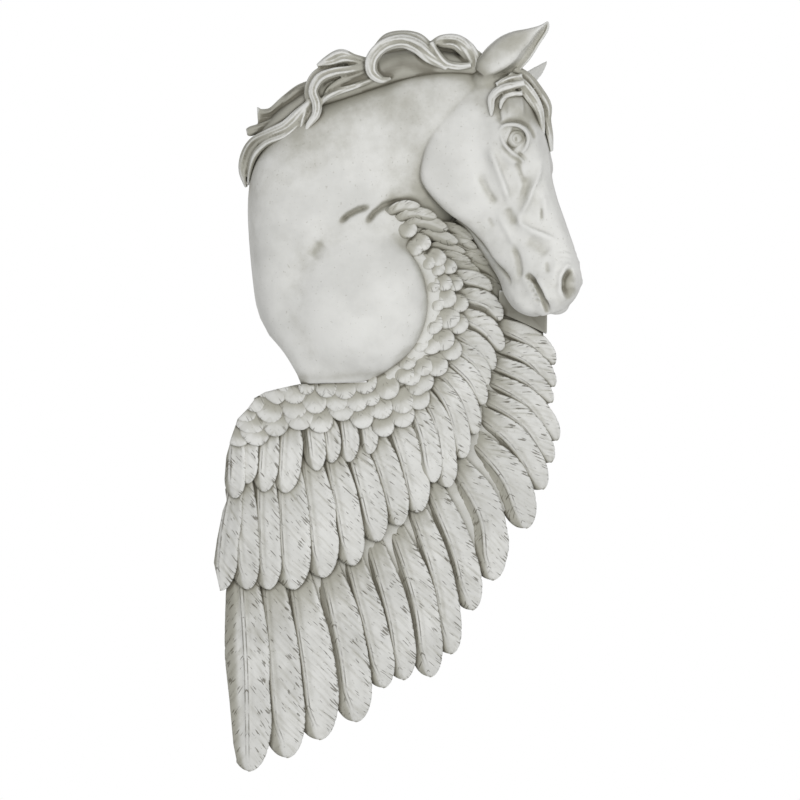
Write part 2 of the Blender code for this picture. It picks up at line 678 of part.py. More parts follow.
# Scales over their roots: lower end and half width
SCALES_FROM = (300, 180)  # the scales point away from here
SCALES = [
    (308, 394, 9), (330, 396, 11), (349, 397, 11), (370, 391, 11), (393, 396, 11), (284, 395, 9),
    (410, 380, 9),
    (295, 404, 12), (317, 413, 12), (340, 410, 11), (361, 409, 11), (375, 403, 9), (386, 416, 11),
    (408, 410, 11),
    (275, 404, 10), (265, 402, 8), (295, 420, 12), (322, 432, 12), (345, 419, 12), (388, 434, 10),
    (300, 430, 14),
    (270, 423, 11), (275, 436, 12), (252, 434, 10), (256, 445, 11), (241, 447, 8), (257, 414, 9),
    (249, 424, 8),
    (366, 426, 11), (408, 424, 11), (422, 392, 9), (424, 406, 10),
    (415, 234, 8), (428, 248, 8), (442, 264, 8), (452, 272, 7), (441, 274, 7), (447, 288, 7), (457, 288, 7),
    (450, 304, 9), (462, 309, 8), (440, 308, 8), (437, 330, 10), (453, 324, 10), (424, 348, 9),
    (436, 350, 9),
    (448, 346, 10), (412, 366, 9), (428, 372, 9), (442, 372, 10), (416, 382, 9), (428, 388, 10),
    (462, 330, 9),
    (456, 356, 9), (436, 290, 7), (432, 268, 7), (420, 254, 7),
]
COLLAR = [
    ((384, 216), (399, 208), (417, 208), 6.5),
    ((392, 223), (411, 214), (433, 219), 6.5),
    ((400, 229), (421, 222), (444, 231), 7),
    ((414, 237), (433, 235), (455, 244), 6.5),
    ((434, 225), (452, 229), (470, 240), 6),
    ((438, 237), (457, 240), (475, 249), 5.5),
    ((424, 248), (443, 247), (464, 254), 5.5),
    ((446, 247), (465, 248), (484, 258), 5.5),
    ((432, 257), (449, 256), (469, 263), 5.5),
    ((453, 256), (470, 256), (488, 265), 5.5),
    ((436, 265), (457, 265), (478, 274), 7),
    ((458, 262), (490, 268), (509, 294), 10),
    ((472, 274), (493, 286), (503, 308), 7.5),
]


def row_feathers(sheet, row, row_height, rim_height, rise):
    return [standing(feather(sheet, (root, middle, tip), half, row_height, rim_height, rise))
            for root, middle, tip, half in row]


def scale_shaft(right, down, half):
    tip = np.array([right, down], float)
    away = tip - SCALES_FROM
    away /= np.linalg.norm(away)
    return [tip - away * half * k for k in (2.8, 1.4, 0)]


def wing_feathers(sheet):
    parts = row_feathers(sheet, LONG, LONG_HEIGHT, LONG_RIM_HEIGHT, 1)
    parts += row_feathers(sheet, MIDDLE, MIDDLE_HEIGHT, MIDDLE_RIM_HEIGHT, 2)
    parts += row_feathers(sheet, SHORT, SHORT_HEIGHT, SHORT_RIM_HEIGHT, 1)
    parts += row_feathers(sheet, COLLAR, COLLAR_HEIGHT, COLLAR_RIM_HEIGHT, 5)
    for right, down, half in SCALES:
        shaft = scale_shaft(right, down, half)
        scale = feather(sheet, shaft, half, SCALE_HEIGHT, SCALE_RIM_HEIGHT, 5, 9, 7, SCALE_TIP_LENGTH)
        parts.append(standing(scale))
    return parts


def spread_grid(lines, across, along):
    """Grid through lines of equal count, drawn finer both ways."""
    span = np.linspace(0, len(lines[0]) - 1, along)
    grid = np.array([curve_at(wing_places(line), span) for line in lines])
    rows = np.linspace(0, len(lines) - 1, across)
    return np.stack([curve_at(grid[:, j], rows) for j in range(along)], 1)


def scale_bed(sheet):
    """Band around the shoulder that the scales grow from, highest and plain beside the shoulder."""
    lines = [
        [(292, 385), (320, 385), (350, 384), (377, 373), (395, 352), (408, 330), (415, 304), (412, 278),
         (400, 252),
         (384, 236)],
        [(262, 414), (296, 404), (336, 400), (372, 398), (404, 388), (427, 362), (442, 332), (448, 300),
         (436, 262),
         (412, 232)],
        [(244, 440), (280, 438), (322, 434), (362, 434), (408, 440), (440, 414), (460, 374), (470, 326),
         (458, 278),
         (436, 238)],
    ]
    grid = spread_grid(lines, 12, 60)
    beside_neck = np.interp(np.linspace(0, 1, 60), [0.4, 0.57], [0, 2])
    fall = np.interp(np.linspace(0, 1, 12), [0.18, 0.45, 1], [1, -2, -7])
    lift = SCALE_HEIGHT + fall[:, None] + beside_neck
    return standing(sheet.lifted(grid[..., 0], grid[..., 1], lift))


def wing_slab(sheet):
    """Ground between the feathers, inside their outline."""
    lines = [
        [(394, 184), (436, 190), (478, 214), (506, 256), (530, 298), (546, 330)],
        [(400, 230), (440, 244), (470, 266), (498, 298), (524, 332), (548, 360)],
        [(394, 300), (440, 300), (466, 316), (496, 340), (525, 370), (548, 398)],
        [(380, 360), (420, 365), (460, 385), (490, 410), (515, 440), (536, 468)],
        [(350, 370), (380, 400), (410, 430), (440, 460), (470, 500), (482, 545)],
        [(325, 372), (340, 420), (360, 470), (385, 520), (420, 570), (440, 620)],
        [(300, 390), (300, 440), (315, 500), (330, 560), (350, 610), (372, 655)],
        [(280, 394), (275, 440), (280, 510), (288, 580), (300, 650), (310, 705)],
        [(256, 402), (241, 440), (234, 510), (230, 590), (236, 660), (244, 735)],
    ]
    grid = spread_grid(lines, 38, 24)
    return standing(np.dstack([grid, sheet.out(grid[..., 0], grid[..., 1]) - 4]))


def stone():
    material = bpy.data.materials.new("antique_stone")
    material.use_nodes = True
    shader = material.node_tree.nodes["Principled BSDF"]
    shader.inputs["Base Color"].default_value = STONE
    shader.inputs["Roughness"].default_value = 0.8
    return material


# Modelling by hand on the fused skins


def distance_to(path, right, down):
    """Distance from each place to a line on the drawing, and where along it, from 0 to 1."""
    path = np.asarray(path, float)
    best = np.full(len(right), 1e9)
    place = np.zeros(len(right))
    spans = max(len(path) - 1, 1)
    for k in range(spans):
        a, b = path[k], path[min(k + 1, len(path) - 1)]
        span = b - a
        long = max((span**2).sum(), 1e-9)
        t = np.clip(((right - a[0]) * span[0] + (down - a[1]) * span[1]) / long, 0, 1)
        gap = np.hypot(right - a[0] - t * span[0], down - a[1] - t * span[1])
        nearer = gap < best
        best[nearer] = gap[nearer]
        place[nearer] = (k + t[nearer]) / spans
    return best, place


def head_twin(points, normals):
    """Each point of the head as if it were on the near side, which the far side mirrors."""
    down, front = head_axes()
    flat = points[:, :2] - POLL
    along, ahead = flat @ down, flat @ front
    out = points[:, 2] - head_middle_out(along)
    c, s = math.cos(HEAD_TURN), math.sin(HEAD_TURN)
    level, side = ahead * c + out * s, out * c - ahead * s
    twin = np.asarray(POLL) + along[:, None] * down + (level * c - np.abs(side) * s)[:, None] * front
    ahead_n = normals[:, :2] @ front
    side_n = (normals[:, 2] * c - ahead_n * s) * np.where(side < 0, -1, 1)
    level_n = ahead_n * c + normals[:, 2] * s
    return twin, level_n * s + side_n * c


# Path on the drawing, reach of the tool and how far it raises the clay (a cut is negative)
HEAD_STROKES = [
    ([(505, 110), (524, 108)], 10, 4.0),
    ([(498, 102), (496, 112), (498, 124)], 4, -3.5),
    ([(476, 92), (482, 104), (488, 118)], 9, -1.5),
    ([(508, 137), (515, 140), (520, 144)], 10.5, -8.5),
    ([(499, 123), (510, 120.5), (521, 121.5), (529, 126), (534, 135), (534, 144)], 2.4, -2.2),
    ([(503, 152), (509, 160), (517, 166)], 4, 1.6),
    ([(518, 153), (522, 158), (526, 163)], 2.2, -2.5),
    ([(515, 163), (519, 174), (525, 186)], 3.5, -2.2),
    ([(534, 172), (531, 188), (527, 202)], 5, -3.0),
    ([(488, 146), (496, 172), (506, 200)], 6, 3.4),
    ([(478, 172), (486, 190), (496, 206)], 5, -3.2),
    ([(508, 166), (514, 186), (520, 204)], 4, 2.6),
    ([(538, 186), (543, 202), (547, 220)], 5, 2.4),
    ([(507, 210), (510, 216), (513, 223)], 4, -3.6),
    ([(541, 211), (541, 221)], 2.2, -2.4),
    ([(490, 219), (495, 227)], 2.5, -1.6),
    ([(516, 229), (530, 233), (540, 237), (550, 243)], 4, 1.8),
    ([(524, 240), (538, 246), (548, 254)], 6, -3.0),
    ([(512, 246), (517, 258), (519, 270), (518, 279)], 2.8, -3.6),
    ([(526, 274), (534, 282), (540, 293), (544, 302), (548, 313)], 2.2, -8.0),
    ([(534, 276), (543, 288), (549, 302)], 4, 2.0),
    ([(512, 276), (522, 293), (537, 308)], 9, -11.0),
    ([(538, 276), (546, 290), (552, 304)], 5, 1.8),
    ([(546, 262), (547, 273)], 2.4, -1.8),
    ([(557, 268), (556, 290)], 4, -1.8),
    ([(566, 296), (562.5, 288), (562.5, 280), (566, 273), (571, 271), (575, 275)], 3.4, -9.0),
    ([(561, 301), (557, 289), (558, 275), (565, 266), (574, 267)], 3.0, 3.0),
    ([(570, 281), (570, 289)], 4, 2.0),
]

# The same for the neck and chest
BODY_STROKES = [
    ([(339, 224), (348, 216), (358, 210), (371, 206)], 5, -6.5),
    ([(366, 224), (374, 214), (384, 206), (400, 200)], 4.5, -6.5),
    ([(311, 258), (321, 242)], 7, -2.5),
    ([(392, 199), (410, 193), (430, 198)], 6, 3.0),
    ([(290, 226), (300, 262), (296, 300)], 16, -2.5),
]


def lid(path, out):
    return tube([(right, down, out + lift, 4.4, 7) for right, down, lift in path], 12, 24)


def eyelids():
    upper = [(499, 131, -4), (503, 127, -1), (511, 125.5, 0.5), (519, 127, 1), (525.5, 132, 0.5),
    (528, 140, -1),
             (525.5, 148, -3), (521, 154, -5)]
    lower = [(500, 133, -4), (502, 141, -1.5), (506.5, 148.5, -0.5), (512.5, 154, -1), (519, 159, -3.5),
             (523, 163, -6)]
    return [lid(upper, EYE_OUT + 12), lid(lower, EYE_OUT + 11)]


def worked(clay, strokes, right, down, facing):
    """Presses or builds up the clay along each stroke, where it faces the tool."""
    for path, reach, raised in strokes:
        gap, place = distance_to(path, right, down)
        taper = np.clip(5 * np.minimum(place, 1 - place) + 0.12, 0, 1)
        amount = raised * np.exp(-((gap / reach) ** 2)) * eased(facing, 0.05, 0.4) * taper
        clay.points += amount[:, None] * clay.normals


def eyeball(count=24):
    return ball((*EYE, EYE_OUT), (EYE_RADIUS,) * 3, count)


def sculpted_head(rings=90, count=72, grain=1.5):
    clay = Clay(fused(mesh_object("head", [head_skin(rings, count)]), grain))
    twin, facing = head_twin(clay.points, clay.normals)
    worked(clay, HEAD_STROKES, twin[:, 0], twin[:, 1], facing)
    clay.relax(0.5, 2)
    return clay.close()


def sculpted_body(grain=2.4):
    clay = Clay(fused(mesh_object("body", [neck_skin(), shoulder()]), grain))
    toward_wing = eased(clay.points[:, 0], 372, 422)
    clay.relax(1 - 0.75 * toward_wing, int((SOFTENING / grain) ** 2))
    worked(clay, BODY_STROKES, clay.points[:, 0], clay.points[:, 1], clay.normals[:, 2])
    return clay.close()


def skin_of(ob):
    """Points and triangles of an object, which is taken away."""
    clay = Clay(ob)
    ob.data.calc_loop_triangles()
    flat = np.empty(len(ob.data.loop_triangles) * 3, np.int32)
    ob.data.loop_triangles.foreach_get("vertices", flat)
    bpy.data.objects.remove(ob)
    return clay.points, flat.reshape(-1, 3)


def cut_at_wall(ob):
    bpy.ops.mesh.primitive_cube_add(size=2)
    cutter = bpy.context.object
    cutter.name = "behind_wall"
    cutter.location = (0, 1, 0)
    cutter.hide_render = True
    cutter.display_type = "WIRE"
    cut = ob.modifiers.new("flat_back", "BOOLEAN")
    cut.operation = "DIFFERENCE"
    cut.solver = "EXACT"
    cut.object = cutter
    triangles = ob.modifiers.new("triangles", "TRIANGULATE")
    triangles.min_vertices = 4


def build():
    clear_scene()
    sheet = Sheet()
    parts = [skin_of(sculpted_head()), poll(), eyeball(), *eyelids(), skin_of(sculpted_body())]
    parts += [near_ear(), far_rim(), far_ear(), chin_web(), wing_slab(sheet), scale_bed(sheet)]
    parts += [tube(lock) for lock in [MANE_BED] + MANE_LOCKS + FORELOCKS]
    parts += wing_feathers(sheet)
    casting = fused(mesh_object("pegasus", parts), GRAIN)
    largest_body(casting)
    thin = casting.modifiers.new("facets", "DECIMATE")
    thin.ratio = FACETS / (2 * len(casting.data.polygons))
    applied(casting)
    cut_at_wall(casting)
    casting.data.materials.append(stone())


build()
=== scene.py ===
"""Looks of the winged horse wall sculpture: modelled surfaces, a washed stone finish and a pale studio.

Shapes are given on the front drawing, in millimetres: to the right and down from its top left corner,
with a third number out from the wall.
"""

import math

import bmesh
import bpy
import numpy as np
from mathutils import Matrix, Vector

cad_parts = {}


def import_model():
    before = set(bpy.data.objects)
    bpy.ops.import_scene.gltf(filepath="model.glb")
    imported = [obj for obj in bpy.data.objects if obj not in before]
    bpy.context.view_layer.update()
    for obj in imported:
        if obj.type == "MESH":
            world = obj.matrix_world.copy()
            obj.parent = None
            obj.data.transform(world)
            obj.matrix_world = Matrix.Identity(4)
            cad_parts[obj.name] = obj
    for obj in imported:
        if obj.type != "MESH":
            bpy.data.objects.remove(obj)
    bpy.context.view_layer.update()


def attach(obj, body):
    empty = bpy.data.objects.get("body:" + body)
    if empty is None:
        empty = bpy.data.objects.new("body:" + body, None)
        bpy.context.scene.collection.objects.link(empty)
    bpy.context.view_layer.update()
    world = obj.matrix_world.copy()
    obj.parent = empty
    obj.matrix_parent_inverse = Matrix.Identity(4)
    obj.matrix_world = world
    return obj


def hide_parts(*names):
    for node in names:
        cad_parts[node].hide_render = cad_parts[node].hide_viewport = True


MM = 0.001

# Where the origin of the frame lies on the front drawing
ORIGIN_RIGHT = 340
ORIGIN_DOWN = 300

BEHIND_WALL = -7  # how far solids reach behind the wall before they are brought up to it

# Edges of the cells that each skin is fused with
HORSE_GRAIN = 1.2
HAIR_GRAIN = 1.0
EAR_GRAIN = 0.6

# Most triangles of a skin
MOST_FINE = 199000
MOST_HAIR = 170000
MOST_SMALL = 60000

# Feathers, hair and eye
RIM_RADIUS = 2.4  # rounding of a feather's rim
SHAFT_AT = -0.34  # where a feather's shaft lies across it, in half widths
BARB_LEAN = 1.3  # how far a barb runs along its feather for each millimetre away from the shaft
CLUMP_LENGTH = (6, 16)  # shortest and longest clump of barbs
COMB_DEPTH = 2.2  # of the grooves along a lock of hair
IRIS = (517, 139)
IRIS_RADIUS = 5.4
VANE_INSET = 0.03  # between the side walls of neighbouring feathers where they meet the wing's outline
GROUND_INSET = 3.5  # of the sheet's own side walls, behind those
SCALE_FULLNESS = 1.2  # of the scales, in their half widths
FIRST_FEATHER_SHIFT = 5  # of the sheet's edge, toward the left beside the longest feather
SCALE_GRID = (26, 25)
SCALE_SEED = 100  # past the seeds of the feathers
COLLAR_LIFTS = (15, 13, 10, 5, 4, 2)  # of its first feathers, over the neck

# Line where the mane meets the neck
UNDER_MANE = [
    (248, 190), (256, 160), (300, 131), (322, 113), (350, 97), (380, 83), (410, 72), (478, 72),
]

# Where the outline starts to be eased inward
MUZZLE_FROM = 576
EAR_TIP_FROM = 34
LOWEST_FROM = 760

# Finish
PALE_STONE = (0.74, 0.74, 0.715, 1)
GREY_STONE = (0.62, 0.62, 0.595, 1)
# Grey-brown of the real antique wash, also used for painted shade in creases, under raised rims and under
# overhangs; the deep one is the same for the darkest creases and cuts
WASH_AND_SHADE = (0.335, 0.325, 0.265, 1)  # grey-brown
DEEP_WASH_AND_SHADE = (0.125, 0.113, 0.082, 1)

# Metres over which the finish looks for a tight crease, a near one and a wide shadow
TIGHT = 0.0045
NEAR = 0.017
WIDE = 0.06

# Marks on a feather in a tenth of a metre, across and along them
BARB_CUTS = (72, 8)
BARB_PATCHES = (14, 10)
BARB_FOLDS = (26, 3)
SHAFT_LINE = 0.016  # from the middle of a shaft to the line on each side, in tenths of a metre

# Studio
PICTURE_SIZE = 800
CAMERA_LENS = 1000  # long, since the picture shows no perspective
SENSOR_WIDTH = 36
AIM_OUT = 60  # how far out from the wall the picture's scale is true
WALL_HALF = 3.0  # metres
WALL_BEHIND = 0.004
FILL = 0.42

# Head
POLL = (492, 88)
HEAD_LENGTH = 236
HEAD_LEAN = math.radians(17.8)
HEAD_TURN = math.radians(18)
POLL_OUT = 94
MUZZLE_OUT = 124
EYE = (515, 140)
EYE_OUT = 131
EYE_RADIUS = 12

# Shoulder
SHOULDER = (358, 302)
SHOULDER_RADIUS = 71
SHOULDER_HEIGHT = 154
SHOULDER_OUT = 129
SHOULDER_DEPTH = 47
SHOULDER_LEAN = 0.15  # how much farther out it lies for each millimetre toward the wing
SOFTENING = 28  # how far the shoulder runs into the neck and chest

# Wing
WING_SPREAD = 348  # from the leading edge to the outermost tip
WING_DROP = 389  # from the line under the chest to the lowest tip
EDGE_RADIUS = 32  # of the leading edge, where the wing turns back to the wall

# Height of each row of feathers over the wing's ground, and of a feather's upper rim over its shaft
LONG_HEIGHT = 0
LONG_RIM_HEIGHT = 4.4
MIDDLE_HEIGHT = 6
MIDDLE_RIM_HEIGHT = 3.8
SHORT_HEIGHT = 11
SHORT_RIM_HEIGHT = 3.0
COLLAR_HEIGHT = 5
COLLAR_RIM_HEIGHT = 3.2
SCALE_HEIGHT = 13
SCALE_RIM_HEIGHT = 0.3
ROOT_DEPTH = 8  # how deep a feather's root starts under its row
TIP_LENGTH = 2.1  # of a feather's rounded end, in half widths
SCALE_TIP_LENGTH = 1.15


# Curves and numbers


def eased(x, low=0.0, high=1.0):
    t = np.clip((np.asarray(x, float) - low) / (high - low), 0, 1)
    return t * t * (3 - 2 * t)


def curve_at(points, u):
    """Points on the smooth curve through the given ones, at places u counted in points."""
    p = np.asarray(points, float)
    ends = np.vstack([2 * p[0] - p[1], p, 2 * p[-1] - p[-2]])
    u = np.clip(u, 0, len(p) - 1)
    i = np.minimum(u.astype(int), len(p) - 2)
    f = (u - i)[:, None]
    a, b, c, d = ends[i], ends[i + 1], ends[i + 2], ends[i + 3]
    return 0.5 * (2 * b + (c - a) * f + (2 * a - 5 * b + 4 * c - d) * f**2 + (3 * b - a - 3 * c + d) * f**3)


def even_curve(points, count):
    """The same curve, its points evenly spaced by length, and where each lies from 0 to the last point."""
    u = np.linspace(0, len(points) - 1, 24 * len(points))
    fine = curve_at(points, u)
    run = np.concatenate([[0], np.cumsum(np.linalg.norm(np.diff(fine, axis=0), axis=1))])
    at = np.interp(np.linspace(0, run[-1], count), run, u)
    return curve_at(points, at), at


def plane_smooth(sites, values):
    """Thin-plate surface through values at sites on the drawing, as a function of (right, down)."""
    sites = np.asarray(sites, float) / 100
    values = np.asarray(values, float)
    n = len(sites)

    def bend(r2):
        return np.where(r2 > 0, r2 * np.log(np.maximum(r2, 1e-12)), 0) / 2

    r2 = ((sites[:, None] - sites[None]) ** 2).sum(-1)
    flat = np.column_stack([np.ones(n), sites])
    system = np.block([[bend(r2) + 0.002 * np.eye(n), flat], [flat.T, np.zeros((3, 3))]])
    weight = np.linalg.solve(system, np.concatenate([values, np.zeros(3)]))

    def surface(right, down):
        q = np.stack([np.asarray(right, float), np.asarray(down, float)], -1) / 100
        shape = q.shape[:-1]
        q = q.reshape(-1, 2)
        out = np.column_stack([np.ones(len(q)), q]) @ weight[n:]
        for k in range(n):
            out = out + weight[k] * bend(((q - sites[k]) ** 2).sum(-1))
        return out.reshape(shape)

    return surface


# Meshes


def to_frame(points):
    """Drawing millimetres (right, down, out) to the frame's metres."""
    p = np.asarray(points, float)
    return np.stack([p[..., 0] - ORIGIN_RIGHT, -p[..., 2], ORIGIN_DOWN - p[..., 1]], -1) * MM


def to_drawing(points):
    p = np.asarray(points, float) / MM
    return np.stack([p[..., 0] + ORIGIN_RIGHT, ORIGIN_DOWN - p[..., 2], -p[..., 1]], -1)


def mesh_object(name, parts):
    """One object from (points, faces) pairs on the drawing, with its faces turned out."""
    points, faces, first = [], [], 0
    for p, f in parts:
        points.append(np.asarray(p, float))
        faces += (np.asarray(f) + first).tolist()
        first += len(p)
    mesh = bpy.data.meshes.new(name)
    mesh.from_pydata(to_frame(np.vstack(points)).tolist(), [], faces)
    bm = bmesh.new()
    bm.from_mesh(mesh)
    bmesh.ops.recalc_face_normals(bm, faces=bm.faces)
    bm.to_mesh(mesh)
    bm.free()
    ob = bpy.data.objects.new(name, mesh)
    bpy.context.scene.collection.objects.link(ob)
    return ob


def loft(rings):
    """Closed skin over rings of equal count, its ends closed by fans, all faces as triangles."""
    rings = np.asarray(rings, float)
    m, n, _ = rings.shape
    points = np.vstack([rings.reshape(-1, 3), rings[0].mean(0), rings[-1].mean(0)])
    j = np.arange(n)
    k = (j + 1) % n
    faces = [np.stack([k, j, np.full(n, m * n)], 1)]
    for i in range(m - 1):
        a, b, c, d = i * n + j, i * n + k, (i + 1) * n + k, (i + 1) * n + j
        faces += [np.stack([a, b, c], 1), np.stack([a, c, d], 1)]
    faces.append(np.stack([(m - 1) * n + j, (m - 1) * n + k, np.full(n, m * n + 1)], 1))
    return points, np.vstack(faces)


def standing(grid, foot=BEHIND_WALL):
    """Solid under a grid of surface points, with straight sides down to the wall."""
    m, n, _ = grid.shape
    low = grid.copy()
    low[..., 2] = foot
    points = np.vstack([grid.reshape(-1, 3), low.reshape(-1, 3)])
    i, j = np.meshgrid(np.arange(m - 1), np.arange(n - 1), indexing="ij")
    a = (i * n + j).ravel()
    b, c, d = a + 1, a + n + 1, a + n
    top = np.vstack([np.stack([a, b, c], 1), np.stack([a, c, d], 1)])
    edge = np.concatenate([
        np.arange(n - 1),
        np.arange(m - 1) * n + n - 1,
        (m - 1) * n + np.arange(n - 1, 0, -1),
        np.arange(m - 1, 0, -1) * n,
    ])
    after = np.roll(edge, -1)
    low_edge, low_after = edge + m * n, after + m * n
    sides = np.vstack([np.stack([edge, low_edge, low_after], 1), np.stack([edge, low_after, after], 1)])
    return points, np.vstack([top, top[:, ::-1] + m * n, sides])


def applied(ob):
    graph = bpy.context.evaluated_depsgraph_get()
    mesh = bpy.data.meshes.new_from_object(ob.evaluated_get(graph))
    ob.modifiers.clear()
    ob.data = mesh
    return ob


def fused(ob, grain):
    remesh = ob.modifiers.new("fuse", "REMESH")
    remesh.mode = "VOXEL"
    remesh.voxel_size = grain * MM
    return applied(ob)


class Clay:
    """A mesh opened for modelling: its points on the drawing and their directions."""

    def __init__(self, ob):
        self.ob = ob
        count = len(ob.data.vertices)
        flat = np.empty(count * 3, np.float32)
        ob.data.vertices.foreach_get("co", flat)
        self.points = to_drawing(flat.reshape(-1, 3).astype(float))
        ob.data.vertices.foreach_get("normal", flat)
        n = flat.reshape(-1, 3).astype(float)
        self.normals = np.stack([n[:, 0], -n[:, 2], -n[:, 1]], 1)
        pairs = np.empty(len(ob.data.edges) * 2, np.int32)
        ob.data.edges.foreach_get("vertices", pairs)
        self.pairs = pairs.reshape(-1, 2)
        self.ways = np.maximum(np.bincount(pairs, minlength=count), 1)[:, None]

    def relax(self, amount, times):
        amount = np.broadcast_to(np.asarray(amount, float), (len(self.points),))[:, None]
        for _ in range(times):
            total = np.zeros_like(self.points)
            for k in range(3):
                total[:, k] += np.bincount(self.pairs[:, 0], self.points[self.pairs[:, 1], k], len(total))
                total[:, k] += np.bincount(self.pairs[:, 1], self.points[self.pairs[:, 0], k], len(total))
            self.points += 0.5 * amount * (total / self.ways - self.points)

    def close(self):
        self.ob.data.vertices.foreach_set("co", to_frame(self.points).astype(np.float32).ravel())
        self.ob.data.update()
        return self.ob


# Head

HEAD_DRAWN = 236  # length of the head on the drawing, which the stations follow

# Down the head from the poll: front and back of the outline, then half widths at the forehead, brow,
# side, cheek and jaw
HEAD_STATIONS = [
    (-22, 8, -26, 8, 13, 17, 16, 11),
    (-12, 22, -40, 14, 23, 27, 26, 19),
    (6, 34, -56, 20, 33, 36, 36, 27),
    (25, 38.5, -75, 25, 39, 39, 38, 32),
    (45, 38.5, -88, 28, 42, 38, 39, 36),
    (65, 37.5, -96, 25, 39, 36, 39, 37),
    (85, 34.5, -91, 20, 31, 33, 37, 34),
    (105, 29.5, -81, 15, 24, 29, 32, 28),
    (125, 28, -66, 13, 20, 25, 25, 20),
    (145, 28.5, -56, 12, 18, 22, 20, 15),
    (165, 29, -50, 12, 18, 21, 19, 13),
    (185, 29.5, -41, 13, 21, 22, 18, 12),
    (200, 29, -44, 14, 25, 24, 18, 13),
    (212, 26, -45, 14, 26, 24, 18, 12),
    (224, 17, -33, 11, 21, 20, 14, 8),
    (233, 3, -22, 6, 11, 11, 8, 5),
]
ACROSS = (0.955, 0.80, 0.56, 0.27, 0.06)  # where those widths lie, from the back at 0 to the front at 1


def head_axes():
    down = np.array([math.sin(HEAD_LEAN), math.cos(HEAD_LEAN)])
    front = np.array([math.cos(HEAD_LEAN), -math.sin(HEAD_LEAN)])
    return down, front


def head_middle_out(along):
    return POLL_OUT + (MUZZLE_OUT - POLL_OUT) * along / HEAD_LENGTH


def head_ring(station, count):
    along, front, back, *widths = station
    a = np.array([front, *(back + (front - back) * f for f in ACROSS), back])
    w = np.array([0, *widths, 0])
    side = curve_at(np.column_stack([a, w]), np.linspace(0, len(a) - 1, count // 2 + 1))
    ring = np.vstack([side, (side * [1, -1])[-2:0:-1]])
    turned = ring[:, 0] * math.cos(HEAD_TURN) - ring[:, 1] * math.sin(HEAD_TURN)
    drawn = back + (turned - turned.min()) * (front - back) / (turned.max() - turned.min())
    level = (drawn + ring[:, 1] * math.sin(HEAD_TURN)) / math.cos(HEAD_TURN)
    out = level * math.sin(HEAD_TURN) + ring[:, 1] * math.cos(HEAD_TURN)
    return drawn, out


def head_skin(rings, count):
    down, front = head_axes()
    stations = curve_at(HEAD_STATIONS, np.linspace(0, len(HEAD_STATIONS) - 1, rings))
    scale = HEAD_LENGTH / HEAD_DRAWN
    loops = []
    for station in stations:
        drawn, out = head_ring(station, count)
        along = station[0] * scale
        flat = np.asarray(POLL) + along * down + drawn[:, None] * front
        loops.append(np.column_stack([flat, head_middle_out(along) + out]))
    return loft(loops)


def near_ear(rings=26, count=33):
    """Leaf with its opening toward the brow. Each station: back edge, near rim, far rim, on the drawing."""
    stations = [
        ((475, 70), (486, 79), (506, 79)),
        ((476, 62), (496, 74), (518, 72)),
        ((481, 55), (506, 68), (524, 66)),
        ((489, 46), (514, 61), (529, 60)),
        ((500, 37.5), (521, 52), (534, 52.5)),
        ((513, 32), (529, 43), (540, 43)),
        ((527, 29), (537, 32.5), (545, 34.5)),
        ((539, 25.5), (543, 26.5), (548.5, 28.5)),
        ((547, 20.5), (547.5, 21), (548.5, 22)),
    ]
    loops = []
    for k, (back, rim, far) in enumerate(stations):
        back, rim, far = np.array(back), np.array(rim), np.array(far)
        size = np.linalg.norm(far - back) + 6
        out = 112 + 2 * k
        bulge = (back + rim) / 2
        well = (rim + far) / 2
        section = [
            (*back, out),
            (*(back * 0.6 + bulge * 0.4), out + 0.26 * size),
            (*(bulge * 0.5 + rim * 0.5), out + 0.36 * size),
            (*rim, out + 0.30 * size),
            (*(rim * 0.7 + well * 0.3), out + 0.14 * size),
            (*well, out - 0.02 * size),
            (*far, out + 0.05 * size),
            (*(far * 0.97 + back * 0.03), out - 0.12 * size),
            (*(far * 0.8 + back * 0.2), out - 0.24 * size),
            (*((far + back) / 2), out - 0.30 * size),
            (*(far * 0.2 + back * 0.8), out - 0.20 * size),
            (*back, out),
        ]
        loops.append(curve_at(section, np.linspace(0, len(section) - 1, count + 1))[:-1])
    loops = np.array(loops)
    span = np.linspace(0, len(stations) - 1, rings)
    return loft(np.stack([curve_at(loops[:, j], span) for j in range(count)], 1))


def tube(path, sides=14, rings=26):
    """Lock or strand along a path of (right, down, out, width, thickness), its section an oval."""
    line, _ = even_curve(path, rings)
    along = np.gradient(line[:, :2], axis=0)
    along /= np.maximum(np.linalg.norm(along, axis=1), 1e-6)[:, None]
    across = np.stack([along[:, 1], -along[:, 0]], 1)
    angle = np.linspace(0, 2 * math.pi, sides, endpoint=False)
    loops = []
    for p, side in zip(line, across):
        reach = np.maximum(p[3], 0.4) / 2 * np.cos(angle)
        rise = np.maximum(p[4], 0.4) / 2 * np.sin(angle)
        loops.append(np.column_stack([p[:2] + reach[:, None] * side, p[2] + rise]))
    return loft(loops)


def far_rim():
    """Rounded edge along the far side of the near ear."""
    return tube([
        (517, 71, 112, 3, 5), (528, 60, 117, 3.2, 5), (539, 43, 122, 3.2, 5), (545, 34, 124, 3.2, 5),
        (547.5, 27, 126, 3, 5), (547.5, 22, 128, 2, 4),
    ])


def far_ear():
    return tube([(520, 88, 70, 15, 10), (530, 78, 66, 14, 8), (539, 70, 62, 10, 5), (547, 61.5, 58, 2, 2)])


# Neck, chest and shoulder

